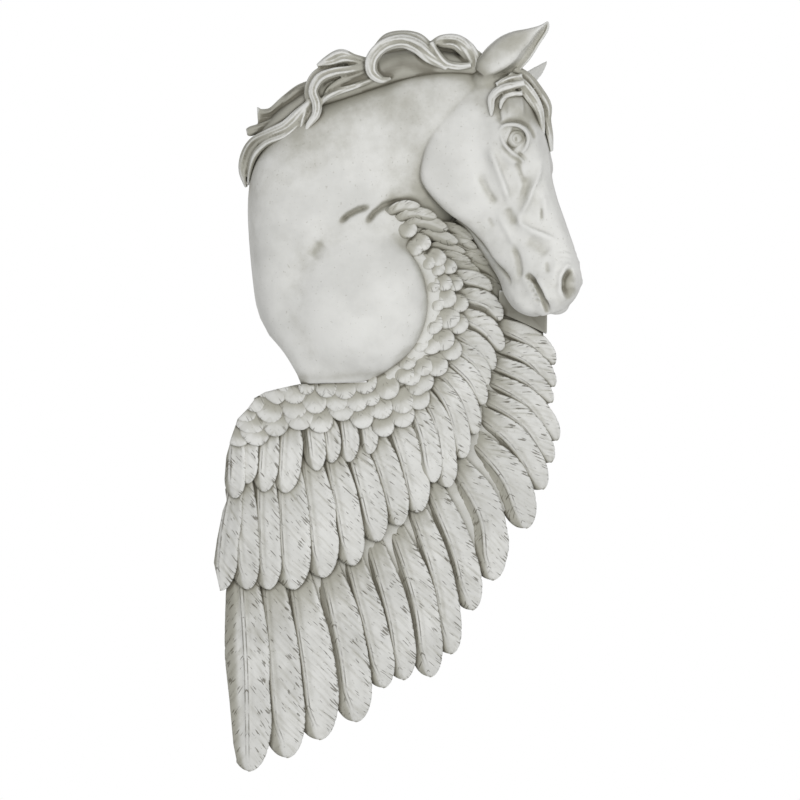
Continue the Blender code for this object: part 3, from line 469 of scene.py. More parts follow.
# From the chest to the poll: left edge, right edge, middle out from the wall and half thickness
NECK_STATIONS = [
    (304, 408, 374, 406, 34, 30),
    (300, 397, 378, 394, 38, 42),
    (295, 384, 386, 382, 40, 52),
    (288, 369, 398, 368, 38, 60),
    (276, 350, 414, 352, 32, 66),
    (258, 318, 428, 322, 26, 76),
    (252, 280, 432, 288, 24, 78),
    (248, 236, 436, 262, 26, 78),
    (247, 196, 446, 240, 30, 76),
    (254, 160, 458, 218, 36, 70),
    (276, 128, 468, 200, 44, 62),
    (310, 106, 476, 184, 54, 54),
    (352, 91, 482, 166, 64, 48),
    (396, 77, 486, 150, 74, 43),
    (438, 69, 490, 136, 84, 38),
    (476, 70, 502, 124, 90, 32),
]


def neck_skin(rings=40, count=48):
    stations, _ = even_curve(NECK_STATIONS, rings)
    angle = np.linspace(0, 2 * math.pi, count, endpoint=False)
    loops = []
    for lx, ly, rx, ry, out, half in stations:
        left, right = np.array([lx, ly]), np.array([rx, ry])
        flat = (left + right) / 2 + np.cos(angle)[:, None] * (right - left) / 2
        bulge = np.sign(np.sin(angle)) * np.abs(np.sin(angle)) ** 0.6
        loops.append(np.column_stack([flat, out + half * bulge]))
    return loft(loops)


def ball(centre, radii, count=40):
    turn = np.linspace(0, 2 * math.pi, count, endpoint=False)
    loops = []
    for tilt in np.linspace(-1.5, 1.5, count // 2):
        r = math.cos(tilt)
        loops.append(np.column_stack([
            centre[0] + radii[0] * r * np.cos(turn),
            centre[1] + radii[1] * r * np.sin(turn),
            np.full(count, centre[2] + radii[2] * math.sin(tilt)),
        ]))
    return loft(loops)


def shoulder():
    radii = (SHOULDER_RADIUS, SHOULDER_HEIGHT / 2, SHOULDER_DEPTH)
    points, faces = ball((*SHOULDER, SHOULDER_OUT - SHOULDER_DEPTH), radii)
    points[:, 2] += SHOULDER_LEAN * (points[:, 0] - SHOULDER[0])
    return points, faces


def poll():
    """Crown between the ears and the neck."""
    return ball((POLL[0] - 4, POLL[1] - 5, POLL_OUT + 8), (20, 16, 25), 24)


def chin_web():
    """Web that carries the chin on the top feathers, set back behind both."""
    front = [(499, 290, 76), (547, 300, 94), (547, 316, 84), (547, 334, 56), (526, 324, 56), (498, 312, 58)]
    return loft([[(right, down, BEHIND_WALL) for right, down, _ in front], front])


# Mane and forelock

MANE_LOCKS = [
    # Ring curl: its broad band, the thin strand over it, the hollow inside and the small lock in the hollow
    [(391, 79, 104, 3, 4), (381, 80, 106, 8, 10), (372, 72, 107, 12, 15), (373, 58, 107, 13, 18),
     (385, 46, 108, 13, 18), (402, 42, 109, 14, 18), (417, 47, 111, 15, 18), (430, 58, 114, 13, 15),
     (447, 69, 114, 5, 6)],
    [(374, 50, 100, 5, 10), (387, 38, 100, 8, 14), (404, 34.5, 101, 8, 14), (420, 38.5, 104, 8, 14),
     (433, 52, 107, 8, 12), (446, 67, 110, 5, 8)],
    [(372, 72, 80, 12, 20), (386, 64, 78, 26, 24), (404, 60, 78, 34, 24), (424, 64, 82, 24, 20),
     (440, 68, 90, 10, 12)],
    [(391, 78, 98, 3, 4), (382, 77, 98, 6, 9), (384, 68, 96, 7, 10), (394, 61, 93, 7, 9),
     (410, 59, 90, 5, 6)],
    # Rounded curl beside the ear, with its lower rim
    [(431, 45, 102, 6, 14), (442, 42, 104, 13, 20), (456, 43, 106, 16, 22), (467, 51, 108, 17, 20),
     (473, 61, 110, 15, 16), (474, 70, 110, 6, 8)],
    [(431, 43, 112, 5, 8), (437, 54, 114, 7, 10), (446, 64, 114, 8, 11), (458, 67, 114, 8, 11),
     (471, 66, 114, 6, 9)],
    [(436, 52, 84, 16, 22), (452, 55, 86, 24, 24), (470, 62, 92, 18, 22)],
    [(474, 64, 108, 6, 8), (477, 55, 108, 7, 9), (482, 60, 108, 6, 9)],
    # Leaf-shaped lock on top
    [(317, 66, 92, 3, 6), (328, 61.5, 93, 11, 15), (341, 57, 94, 15, 19), (354, 60, 94, 11, 17),
     (370, 64, 94, 10, 14)],
    # S-shaped lock and the strand on its left
    [(326, 70, 84, 6, 12), (344, 66, 84, 14, 18), (372, 63, 86, 12, 16)],
    [(374, 64, 94, 10, 12), (352, 70, 98, 9, 14), (334, 73, 99, 10, 15), (320, 79, 97, 11, 15),
     (313.5, 91, 94, 10, 14), (317, 104, 93, 10, 13), (316, 115, 92, 9, 11), (309, 125, 90, 6, 8),
     (305.5, 133, 88, 2, 3)],
    [(336, 65, 88, 7, 10), (318, 73, 88, 8, 12), (310, 84, 87, 8, 12), (308.5, 96, 85, 8, 12),
     (312, 108, 85, 7, 10), (307, 120, 83, 6, 9), (304, 131, 80, 2, 3)],
    # Combed hollow between the S-shaped lock and the ring
    [(374, 74, 88, 24, 20), (352, 80, 86, 26, 20), (334, 86, 84, 24, 20), (319, 99, 80, 12, 14)],
    [(372, 68, 96, 4, 6), (358, 74, 97, 5, 7), (342, 80, 95, 5, 7), (330, 88, 92, 4, 6),
     (324, 96, 90, 2, 3)],
    [(372, 80, 98, 5, 8), (354, 87, 97, 6, 9), (338, 92, 95, 7, 9), (325, 99, 93, 6, 8),
     (319, 108, 90, 2, 3)],
    # Ribbon with the square end, and the lock with the round end
    [(314, 84, 74, 10, 16), (300, 91, 68, 13, 18), (286, 101.5, 60, 13, 17), (273, 113, 52, 13, 14),
     (263, 116.5, 47, 16, 10), (257.5, 117, 46, 21, 8)],
    [(310, 96, 76, 8, 12), (293, 110, 68, 10, 14), (277, 120.5, 60, 9, 14), (262, 127, 50, 9, 13),
     (251, 131, 46, 10, 12), (246.5, 132, 45, 7, 9)],
    # Locks that close the mane down the left edge
    [(310, 102, 88, 6, 10), (299, 114, 84, 11, 15), (286, 126, 78, 12, 16), (269, 134, 67, 11, 16),
     (254, 143, 54, 12, 18), (246, 156, 44, 12, 18), (243, 171, 37, 9, 16), (246, 187, 32, 3, 8)],
    [(306, 118, 84, 4, 5), (286, 135, 78, 7, 10), (267, 143, 68, 7, 10), (255, 155, 56, 7, 10),
     (250, 170, 46, 5, 8), (248, 185, 40, 2, 4)],
    [(309, 100, 88, 5, 8), (304.5, 112, 87, 6, 9), (302, 124, 85, 5, 7), (300, 132, 83, 2, 3)],
]

# Body of the mane under its locks, along the crest of the neck
MANE_BED = [
    (249, 176, 30, 7, 30), (252, 158, 36, 9, 34), (262, 140, 42, 13, 40), (280, 122, 48, 20, 44),
    (304, 104, 56, 24, 48), (334, 86, 66, 26, 48), (368, 74, 74, 26, 48), (404, 64, 82, 24, 48),
    (444, 62, 90, 20, 44), (480, 68, 94, 12, 36),
]

FORELOCKS = [
    [(514, 70, 112, 10, 12), (526, 80, 112, 14, 16), (536, 93, 110, 15, 18), (544, 107, 107, 15, 18),
     (546, 121, 104, 10, 16), (549, 136, 102, 8, 14), (551, 152, 102, 4, 8)],
    [(508, 76, 122, 9, 11), (521, 86, 124, 13, 16), (531, 98, 122, 13, 17), (538, 110, 118, 10, 14),
     (541, 122, 114, 7, 10), (543.5, 135, 111, 2.5, 4)],
    [(524, 84, 128, 6, 9), (511, 87, 131, 9, 12), (499, 91, 134, 9, 13), (491.5, 99, 136, 8, 12),
     (491, 109, 137, 6, 9), (491, 117, 137, 2.5, 4)],
    [(522, 94, 130, 5, 8), (509, 96, 133, 6, 9), (502, 101, 135, 6, 9), (500, 110, 136, 2.5, 4)],
    [(522, 77, 122, 6, 9), (508, 80, 127, 7, 10), (496, 86, 131, 5, 7)],
]

# Wing

# Left edge of the sheet, from the chest to the lowest tip
LEADING_EDGE = [
    (297, 384), (269, 389), (249, 400), (237, 414), (228, 436), (221, 462), (219, 490), (216, 520),
    (210, 550), (208, 566), (212, 590), (216, 620), (219, 660), (223, 700), (228, 745), (234, 772),
]

# Places on the drawing and how far out from the wall the sheet under the feathers lies there
SHEET = [
    (300, 385, 62), (340, 384, 68), (380, 379, 72), (412, 358, 76), (438, 325, 78), (446, 285, 78),
    (430, 240, 80), (405, 215, 84), (470, 255, 66), (490, 300, 56), (520, 320, 50), (552, 365, 34),
    (560, 440, 24), (538, 485, 24), (480, 430, 50), (440, 440, 58), (400, 440, 60), (350, 440, 60),
    (300, 440, 60), (245, 440, 56), (225, 560, 42), (300, 560, 46), (380, 530, 46), (440, 520, 42),
    (492, 575, 20), (468, 605, 18), (400, 640, 22), (330, 660, 26), (240, 660, 28), (247, 765, 13),
    (320, 735, 13), (383, 685, 13), (440, 650, 15),
]


def wing_places(points):
    """Places of the wing as on the drawing, moved to suit the wing's spread and drop."""
    p = np.array(points, float)
    edge = np.array(LEADING_EDGE)
    tips = np.array([feather[-2] for feather in LONG])
    corner = edge[0]
    spread = WING_SPREAD / (tips[:, 0].max() - edge[:, 0].min())
    drop = WING_DROP / (tips[:, 1].max() - corner[1])
    p[..., :2] = corner + (p[..., :2] - corner) * [spread, drop]
    return p


class Sheet:
    """Surface that the feathers lie on, turned back to the wall along the leading edge."""

    def __init__(self):
        sites = wing_places(SHEET)
        self.rise = plane_smooth(sites[:, :2], sites[:, 2])
        edge = curve_at(wing_places(LEADING_EDGE), np.linspace(0, len(LEADING_EDGE) - 1, 200))
        self.edge = edge[np.argsort(edge[:, 1])]

    def out(self, right, down):
        height = self.rise(right, down)
        inward = np.asarray(right, float) - np.interp(down, self.edge[:, 1], self.edge[:, 0])
        short = np.clip(EDGE_RADIUS - inward, 0, EDGE_RADIUS)
        turned = np.sqrt(np.maximum(EDGE_RADIUS**2 - short**2, 0)) - EDGE_RADIUS
        return height + turned * np.clip(height / 60, 0.25, 1)

    def lifted(self, right, down, lift):
        """Points at a height above the sheet, square to it."""
        step = 2.0
        slope_right = (self.out(right + step, down) - self.out(right - step, down)) / (2 * step)
        slope_down = (self.out(right, down + step) - self.out(right, down - step)) / (2 * step)
        slope_right = np.clip(slope_right, -1.2, 1.2)
        size = np.sqrt(slope_right**2 + slope_down**2 + 1)
        return np.stack([
            right - lift * slope_right / size,
            down - lift * slope_down / size,
            self.out(right, down) + lift / size,
        ], -1)


class Blade:
    """Places on one vane: a grid along its shaft and across it, its end rounded."""

    def __init__(self, shaft, half, lengths, widths, tip=TIP_LENGTH):
        fine, _ = even_curve(shaft, 80)
        self.long = np.linalg.norm(np.diff(fine, axis=0), axis=1).sum()
        self.u = 1 - (1 - np.linspace(0, 1, lengths)) ** 1.5
        self.line = curve_at(fine, self.u * 79)
        fine_along = np.gradient(fine, axis=0)
        along = np.stack([np.interp(self.u * 79, np.arange(80), fine_along[:, k]) for k in range(2)], 1)
        along /= np.linalg.norm(along, axis=1)[:, None]
        self.across = np.stack([along[:, 1], -along[:, 0]], 1)
        self.end = np.clip(1 - (1 - self.u) * self.long / (tip * half), 0, 1)
        full = half * (0.66 + 0.34 * eased(self.u, 0, 0.5))
        self.width = full * np.maximum(1 - self.end**2, 0.0004) ** 0.48
        self.v = np.sin(np.linspace(-1, 1, widths) * math.pi / 2)

    def places(self, reach):
        right = self.line[:, None, 0] + reach * self.across[:, None, 0]
        down = self.line[:, None, 1] + reach * self.across[:, None, 1]
        return right, down

    def height(self, row_height, rim_height, rise):
        """Over the sheet: higher toward the rim on the right, the end standing proud, the root sunk."""
        sunk = ROOT_DEPTH * (1 - eased(self.u, 0, 0.22))
        along = row_height + rise * self.u - sunk - 1.2 * self.end**3
        return along[:, None] + rim_height * self.v - 1.6 * np.abs(self.v) ** 3


# Feathers of each row from the leading edge round: root, middle and tip of the shaft, and half width
LONG = [
    ((238, 545), (245, 665), (247, 773), 24),
    ((265, 555), (278, 675), (286, 759), 23),
    ((292, 560), (311, 665), (319, 741), 24),
    ((322, 550), (346, 645), (356, 723), 21),
    ((346, 540), (373, 635), (384, 689), 17),
    ((368, 530), (394, 612), (404, 681), 17),
    ((390, 515), (420, 597), (431, 678), 17),
    ((404, 480), (438, 570), (452, 655), 16),
    ((420, 462), (458, 545), (474, 611), 16),
    ((442, 446), (487, 512), (494, 581), 18),
    ((470, 434), (511, 477), (529, 529), 18),
    ((474, 410), (517, 442), (546, 490), 16),
    ((478, 394), (525, 421), (554, 463), 14),
    ((482, 376), (529, 401), (560, 441), 13),
    ((484, 360), (527, 378), (555, 403), 12),
    ((488, 344), (529, 358), (557, 387), 12),
    ((490, 322), (531, 340), (557, 365), 13),
]
MIDDLE = [
    ((238, 466), (228, 530), (221, 590), 13),
    ((240, 455), (242, 530), (246, 589), 16),
    ((262, 450), (264, 530), (267, 589), 16),
    ((284, 445), (288, 525), (292, 589), 22),
    ((304, 440), (316, 515), (322, 577), 20),
    ((326, 435), (342, 505), (352, 565), 18),
    ((346, 425), (366, 490), (377, 541), 17),
    ((364, 415), (387, 475), (399, 525), 17),
    ((384, 392), (408, 458), (418, 512), 18),
]
SHORT = [
    ((242, 420), (238, 462), (237, 498), 9.5),
    ((250, 412), (248, 450), (247, 483), 11),
    ((269, 410), (266, 452), (263, 491), 14),
    ((289, 408), (287, 452), (284, 492), 16),
    ((309, 408), (314, 442), (316, 470), 12),
    ((325, 406), (330, 436), (331, 462), 11),
    ((343, 404), (348, 435), (348, 461), 12),
    ((361, 402), (368, 430), (369, 453), 11),
    ((400, 384), (424, 428), (433, 481), 12),
    ((412, 378), (438, 420), (447, 486), 12),
    ((424, 370), (450, 405), (462, 457), 12),
    ((430, 360), (460, 393), (474, 433), 12),
    ((438, 350), (469, 377), (482, 404), 11),
    ((444, 340), (474, 361), (485, 385), 10),
    ((446, 328), (477, 347), (492, 369), 11),
    ((448, 310), (484, 329), (501, 350), 12),
    ((448, 294), (484, 303), (501, 321), 12),
    ((444, 276), (476, 282), (490, 291), 10),
]

# Scales over their roots: lower end and half width
SCALES_FROM = (300, 180)  # the scales point away from here
SCALES = [
    (308, 394, 9), (330, 396, 11), (349, 397, 11), (370, 391, 11), (393, 396, 11), (284, 395, 9),
    (410, 380, 9), (295, 404, 12), (317, 413, 12), (340, 410, 11), (361, 409, 11), (375, 403, 9),
    (386, 416, 11), (408, 410, 11), (275, 404, 10), (265, 402, 8), (295, 420, 12), (322, 432, 12),
    (345, 419, 12), (388, 434, 10), (300, 430, 14), (270, 423, 11), (275, 436, 12), (252, 434, 10),
    (256, 445, 11), (241, 447, 8), (257, 414, 9), (249, 424, 8), (366, 426, 11), (408, 424, 11),
    (422, 392, 9), (424, 406, 10), (415, 234, 8), (428, 248, 8), (442, 264, 8), (452, 272, 7),
    (441, 274, 7), (447, 288, 7), (457, 288, 7), (450, 304, 9), (462, 309, 8), (440, 308, 8),
    (437, 330, 10), (453, 324, 10), (424, 348, 9), (436, 350, 9), (448, 346, 10), (412, 366, 9),
    (428, 372, 9), (442, 372, 10), (416, 382, 9), (428, 388, 10), (462, 330, 9), (456, 356, 9),
    (436, 290, 7), (432, 268, 7), (420, 254, 7),
]
COLLAR = [
    ((384, 216), (399, 208), (417, 208), 6.5),
    ((392, 223), (411, 214), (433, 219), 6.5),
    ((400, 229), (421, 222), (444, 231), 7),
    ((414, 237), (433, 235), (455, 244), 6.5),
    ((434, 225), (452, 229), (470, 240), 6),
    ((438, 237), (457, 240), (475, 249), 5.5),
    ((424, 248), (443, 247), (464, 254), 5.5),
    ((446, 247), (465, 248), (484, 258), 5.5),
    ((432, 257), (449, 256), (469, 263), 5.5),
    ((453, 256), (470, 256), (488, 265), 5.5),
    ((436, 265), (457, 265), (478, 274), 7),
    ((458, 262), (490, 268), (509, 294), 10),
    ((472, 274), (493, 286), (503, 308), 7.5),
]


def scale_shaft(right, down, half):
    tip = np.array([right, down], float)
    away = tip - SCALES_FROM
    away /= np.linalg.norm(away)
    return [tip - away * half * k for k in (2.8, 1.4, 0)]


def spread_grid(lines, across, along):
    """Grid through lines of equal count, drawn finer both ways."""
    span = np.linspace(0, len(lines[0]) - 1, along)
    grid = np.array([curve_at(wing_places(line), span) for line in lines])
    rows = np.linspace(0, len(lines) - 1, across)
    return np.stack([curve_at(grid[:, j], rows) for j in range(along)], 1)


def scale_bed(sheet):
    """Band around the shoulder that the scales grow from, highest and plain beside the shoulder."""
    lines = [
        [(292, 385), (320, 385), (350, 384), (377, 373), (395, 352),
         (408, 330), (415, 304), (412, 278), (400, 252), (384, 236)],
        [(262, 414), (296, 404), (336, 400), (372, 398), (404, 388),
         (427, 362), (442, 332), (448, 300), (436, 262), (412, 232)],
        [(244, 440), (280, 438), (322, 434), (362, 434), (408, 440),
         (440, 414), (460, 374), (470, 326), (458, 278), (436, 238)],
    ]
    across, along = 30, 60
    grid = spread_grid(lines, across, along)
    beside_neck = np.interp(np.linspace(0, 1, along), [0.4, 0.57, 0.88, 1], [0, 2, 1, -9])
    stations, heights = [0, 0.08, 0.18, 0.3, 0.42, 0.6, 1], [-8, -2, 1, 1, -2, -7, -11]
    fall = np.interp(np.linspace(0, 1, across), stations, heights)
    lift = SCALE_HEIGHT + fall[:, None] + beside_neck
    return standing(sheet.lifted(grid[..., 0], grid[..., 1], lift))


def wing_slab(sheet):
    """Ground between the feathers, inside their outline."""
    lines = [
        [(394, 184), (436, 190), (478, 214), (506, 256), (530, 298), (546, 330)],
        [(400, 230), (440, 244), (470, 266), (498, 298), (524, 332), (548, 360)],
        [(394, 300), (440, 300), (466, 316), (496, 340), (525, 370), (548, 398)],
        [(380, 360), (420, 365), (460, 385), (490, 410), (515, 440), (536, 468)],
        [(350, 370), (380, 400), (410, 430), (440, 460), (470, 500), (482, 545)],
        [(325, 372), (340, 420), (360, 470), (385, 520), (420, 570), (440, 620)],
        [(300, 390), (300, 440), (315, 500), (330, 560), (350, 610), (372, 655)],
        [(280, 394), (275, 440), (280, 510), (288, 580), (300, 650), (310, 705)],
        [(256, 402), (241, 440), (234, 510), (230, 590), (236, 660), (244, 735)],
    ]
    grid = spread_grid(lines, 38, 24)
    return standing(np.dstack([grid, sheet.out(grid[..., 0], grid[..., 1]) - 4]))


# Modelling on the fused skins


def distance_to(path, right, down):
    """Distance from each place to a line on the drawing, and where along it, from 0 to 1."""
    path = np.asarray(path, float)
    best = np.full(len(right), 1e9)
    place = np.zeros(len(right))
    spans = max(len(path) - 1, 1)
    for k in range(spans):
        a, b = path[k], path[min(k + 1, len(path) - 1)]
        span = b - a
        long = max((span**2).sum(), 1e-9)
        t = np.clip(((right - a[0]) * span[0] + (down - a[1]) * span[1]) / long, 0, 1)
        gap = np.hypot(right - a[0] - t * span[0], down - a[1] - t * span[1])
        nearer = gap < best
        best[nearer] = gap[nearer]
        place[nearer] = (k + t[nearer]) / spans
    return best, place


def head_twin(points, normals):
    """Each point of the head as if it were on the near side, which the far side mirrors."""
    down, front = head_axes()
    flat = points[:, :2] - POLL
    along, ahead = flat @ down, flat @ front
    out = points[:, 2] - head_middle_out(along)
    c, s = math.cos(HEAD_TURN), math.sin(HEAD_TURN)
    level, side = ahead * c + out * s, out * c - ahead * s
    twin = np.asarray(POLL) + along[:, None] * down + (level * c - np.abs(side) * s)[:, None] * front
    ahead_n = normals[:, :2] @ front
    side_n = (normals[:, 2] * c - ahead_n * s) * np.where(side < 0, -1, 1)
    level_n = ahead_n * c + normals[:, 2] * s
    return twin, level_n * s + side_n * c


# Path on the drawing, reach of the tool and how far it raises the clay (a cut is negative)
HEAD_STROKES = [
    ([(505, 110), (524, 108)], 10, 4.0),
    ([(498, 102), (496, 112), (498, 124)], 4, -3.5),
    ([(476, 92), (482, 104), (488, 118)], 9, -1.5),
    ([(508, 137), (515, 140), (520, 144)], 10.5, -8.5),
    ([(499, 123), (510, 120.5), (521, 121.5), (529, 126), (534, 135), (534, 144)], 2.4, -2.2),
    ([(503, 152), (509, 160), (517, 166)], 4, 1.6),
    ([(518, 153), (522, 158), (526, 163)], 2.2, -2.5),
    ([(515, 163), (519, 174), (525, 186)], 3.5, -2.2),
    ([(527, 176), (524, 190), (519, 204)], 3.2, -1.8),
    ([(488, 146), (496, 172), (506, 200)], 6, 3.4),
    ([(478, 172), (486, 190), (496, 206)], 4.5, -2.6),
    ([(512, 168), (515, 184), (517, 198)], 4.5, -1.4),
    ([(538, 186), (543, 202), (547, 220)], 5, 2.4),
    ([(506, 208), (510, 216), (515, 226)], 4.5, -2.6),
    ([(541.5, 210), (541, 222)], 1.5, -2.2),
    ([(488, 218), (495, 228)], 2.0, -1.2),
    ([(516, 229), (530, 233), (540, 237), (550, 243)], 4, 1.8),
    ([(524, 240), (538, 246), (548, 254)], 6, -3.0),
    ([(512, 246), (517, 258), (519, 270), (518, 279)], 2.8, -3.6),
    ([(526, 274), (534, 282), (540, 293), (544, 302), (548, 313)], 2.2, -8.0),
    ([(534, 276), (543, 288), (549, 302)], 4, 2.0),
    ([(512, 276), (522, 293), (537, 308)], 8, -2.5),
    ([(538, 276), (546, 290), (552, 304)], 5, 1.8),
    ([(546, 262), (547, 273)], 2.4, -1.8),
    ([(557, 268), (556, 290)], 4, -1.8),
    ([(567.5, 296.5), (564.5, 288.5), (564.5, 280), (568, 273), (573, 271)], 3.2, -7.5),
    ([(563.5, 301.5), (559.5, 290), (560, 276), (566, 267), (572, 266)], 3.0, 3.0),
    ([(571.5, 281), (571.5, 289)], 3.8, 2.0),
]

# The same for the neck and chest
BODY_STROKES = [
    ([(340, 223), (348, 215.5), (358, 210), (370, 206.5)], 2.9, -6.5),
    ([(367, 223), (374, 213.5), (384, 206), (402, 200)], 2.9, -6.5),
    ([(311, 258), (321, 242)], 7, -2.5),
    ([(392, 199), (410, 193), (430, 198)], 6, 3.0),
    ([(290, 226), (300, 262), (296, 300)], 16, -2.5),
]


def lid(path, out):
    return tube([(right, down, out + lift, 4.4, 7) for right, down, lift in path], 12, 24)


def eyelids():
    upper = [(499, 131, -4), (503, 127, -1), (511, 125.5, 0.5), (519, 127, 1),
             (525.5, 132, 0.5), (528, 140, -1), (525.5, 148, -3), (521, 154, -5)]
    lower = [(500, 133, -4), (502, 141, -1.5), (506.5, 148.5, -0.5), (512.5, 154, -1), (519, 159, -3.5),
             (523, 163, -6)]
    return [lid(upper, EYE_OUT + 12), lid(lower, EYE_OUT + 11)]


def worked(clay, strokes, right, down, facing):
    """Presses or builds up the clay along each stroke, where it faces the tool."""
    for path, reach, raised in strokes:
        gap, place = distance_to(path, right, down)
        taper = np.clip(5 * np.minimum(place, 1 - place) + 0.12, 0, 1)
        amount = raised * np.exp(-((gap / reach) ** 2)) * eased(facing, 0.05, 0.4) * taper
        clay.points += amount[:, None] * clay.normals


def eyeball(count=24):
    return ball((*EYE, EYE_OUT), (EYE_RADIUS,) * 3, count)


def sculpted_head(rings=90, count=72, grain=1.5):
    clay = Clay(fused(mesh_object("head", [head_skin(rings, count)]), grain))
    twin, facing = head_twin(clay.points, clay.normals)
    worked(clay, HEAD_STROKES, twin[:, 0], twin[:, 1], facing)
    clay.relax(0.5, 2)
    return clay.close()


def sculpted_body(grain=2.4):
    clay = Clay(fused(mesh_object("body", [neck_skin(), shoulder()]), grain))
    toward_wing = eased(clay.points[:, 0], 372, 422)
    clay.relax(1 - 0.75 * toward_wing, int((SOFTENING / grain) ** 2))
    worked(clay, BODY_STROKES, clay.points[:, 0], clay.points[:, 1], clay.normals[:, 2])
    return clay.close()


def skin_of(ob):
    """Points and triangles of an object, which is taken away."""
    clay = Clay(ob)
    ob.data.calc_loop_triangles()
    flat = np.empty(len(ob.data.loop_triangles) * 3, np.int32)
    ob.data.loop_triangles.foreach_get("vertices", flat)
    bpy.data.objects.remove(ob)
    return clay.points, flat.reshape(-1, 3)


# Pieces for the render

# Lines along which the stone is darkened, with their reach and depth: in the hair, then elsewhere. Partly the
# real wash in cuts and creases, partly painted shade, as round the shoulder, along the jaw, under the chin
# and on the neck
HAIR_WASH_AND_SHADE_LINES = [
    ([(388, 73), (402, 66), (416, 67), (430, 71)], 8.5, 3.2),
    ([(442, 52), (452, 56), (462, 60)], 8, 1.6),
    ([(330, 84), (346, 80), (362, 76)], 9, 1.4),
    ([(262, 116), (284, 102), (300, 92)], 8, 0.9),
]
WASH_AND_SHADE_LINES = [
    ([(470, 70), (490, 52), (520, 38)], 13, 1.0),
    ([(476, 76), (490, 82), (512, 80)], 7, 1.3),
    ([(500, 104), (515, 108), (526, 118)], 11, 1.5),
    ([(500, 124), (510, 121.8), (520, 122.5), (527, 126.5), (531.5, 132), (533.5, 138)], 1.9, 1.0),
    ([(502, 148), (510, 157), (520, 162)], 2.2, 0.8),
    ([(504, 132), (512, 150), (521, 160)], 7, 0.5),
    ([(570, 279), (570, 289)], 6.5, 1.6),
    ([(545, 296), (557, 300), (566, 296)], 12, 0.6),
    ([(528, 276), (536, 284), (541, 297), (546, 311)], 2.0, 1.8),
    ([(567, 296), (564.5, 288), (565, 280), (569, 273)], 2.4, 1.3),
    ([(518, 158), (521, 172), (524, 181)], 2.6, 0.6),
    ([(529, 180), (525, 195), (519, 208)], 5, 0.22),
    ([(509, 211), (512, 220)], 4, 0.6),
    ([(541, 210), (541, 218)], 1.6, 1.0),
    ([(489, 220), (492, 226)], 2.8, 0.6),
    ([(480, 180), (490, 195), (504, 206)], 5, 0.25),
    ([(546, 264), (547, 271)], 2.3, 0.6),
    ([(534, 244), (538, 252)], 10, 0.25),
    ([(500, 300), (516, 313), (538, 318)], 8, 0.5),
    ([(513, 249), (518, 264), (518, 280)], 6, 0.5),
    ([(472, 226), (484, 244), (500, 268)], 8, 0.5),
    ([(300, 145), (340, 118), (380, 104), (430, 92), (470, 88)], 22, 0.75),
    ([(262, 200), (300, 170), (350, 150)], 20, 0.35),
    ([(408, 120), (400, 160), (408, 200)], 22, 0.6),
    ([(251, 215), (254, 290)], 10, 0.35),
    ([(330, 236), (302, 262), (294, 300), (304, 342), (330, 366)], 13, 0.25),
    ([(315, 252), (321, 243)], 3.5, 0.5),
    ([(372, 228), (400, 250)], 8, 0.3),
    ([(275, 345), (297, 374)], 14, 0.4),
    ([(306, 378), (340, 378), (378, 372)], 5, 0.7),
    ([(300, 262), (318, 244), (345, 226)], 9, 0.2),
    ([(341, 221), (350, 214), (368, 208)], 3.0, 0.8),
    ([(368, 221), (378, 211), (396, 203)], 3.0, 0.8),
    ([(394, 200), (420, 196), (445, 214), (468, 240)], 9, 0.9),
    ([(396, 236), (414, 256), (425, 280), (428, 302), (424, 324), (412, 346), (396, 362)], 6, 0.85),
]

# Outlines on the drawing: the wing's leading edge and top, the chest's left side and bottom
WING_LEFT = [
    (254, 398), (247, 408), (237, 418), (230, 438), (225, 455), (223, 480), (226, 500), (222, 510),
    (216, 540), (213, 562), (219, 589), (221, 620), (224, 655), (229, 700), (233, 745), (236, 760),
]
WING_TOP = [(244, 408), (248, 401), (257, 396), (265, 391.5), (285, 387), (300, 384), (368, 382)]
CHEST_LEFT = [(254.5, 300), (260, 318), (269, 335), (283, 351), (290, 362), (297, 374), (301, 384)]
CHEST_BOTTOM = [(300, 384), (330, 383), (360, 382), (375, 380), (384, 380)]

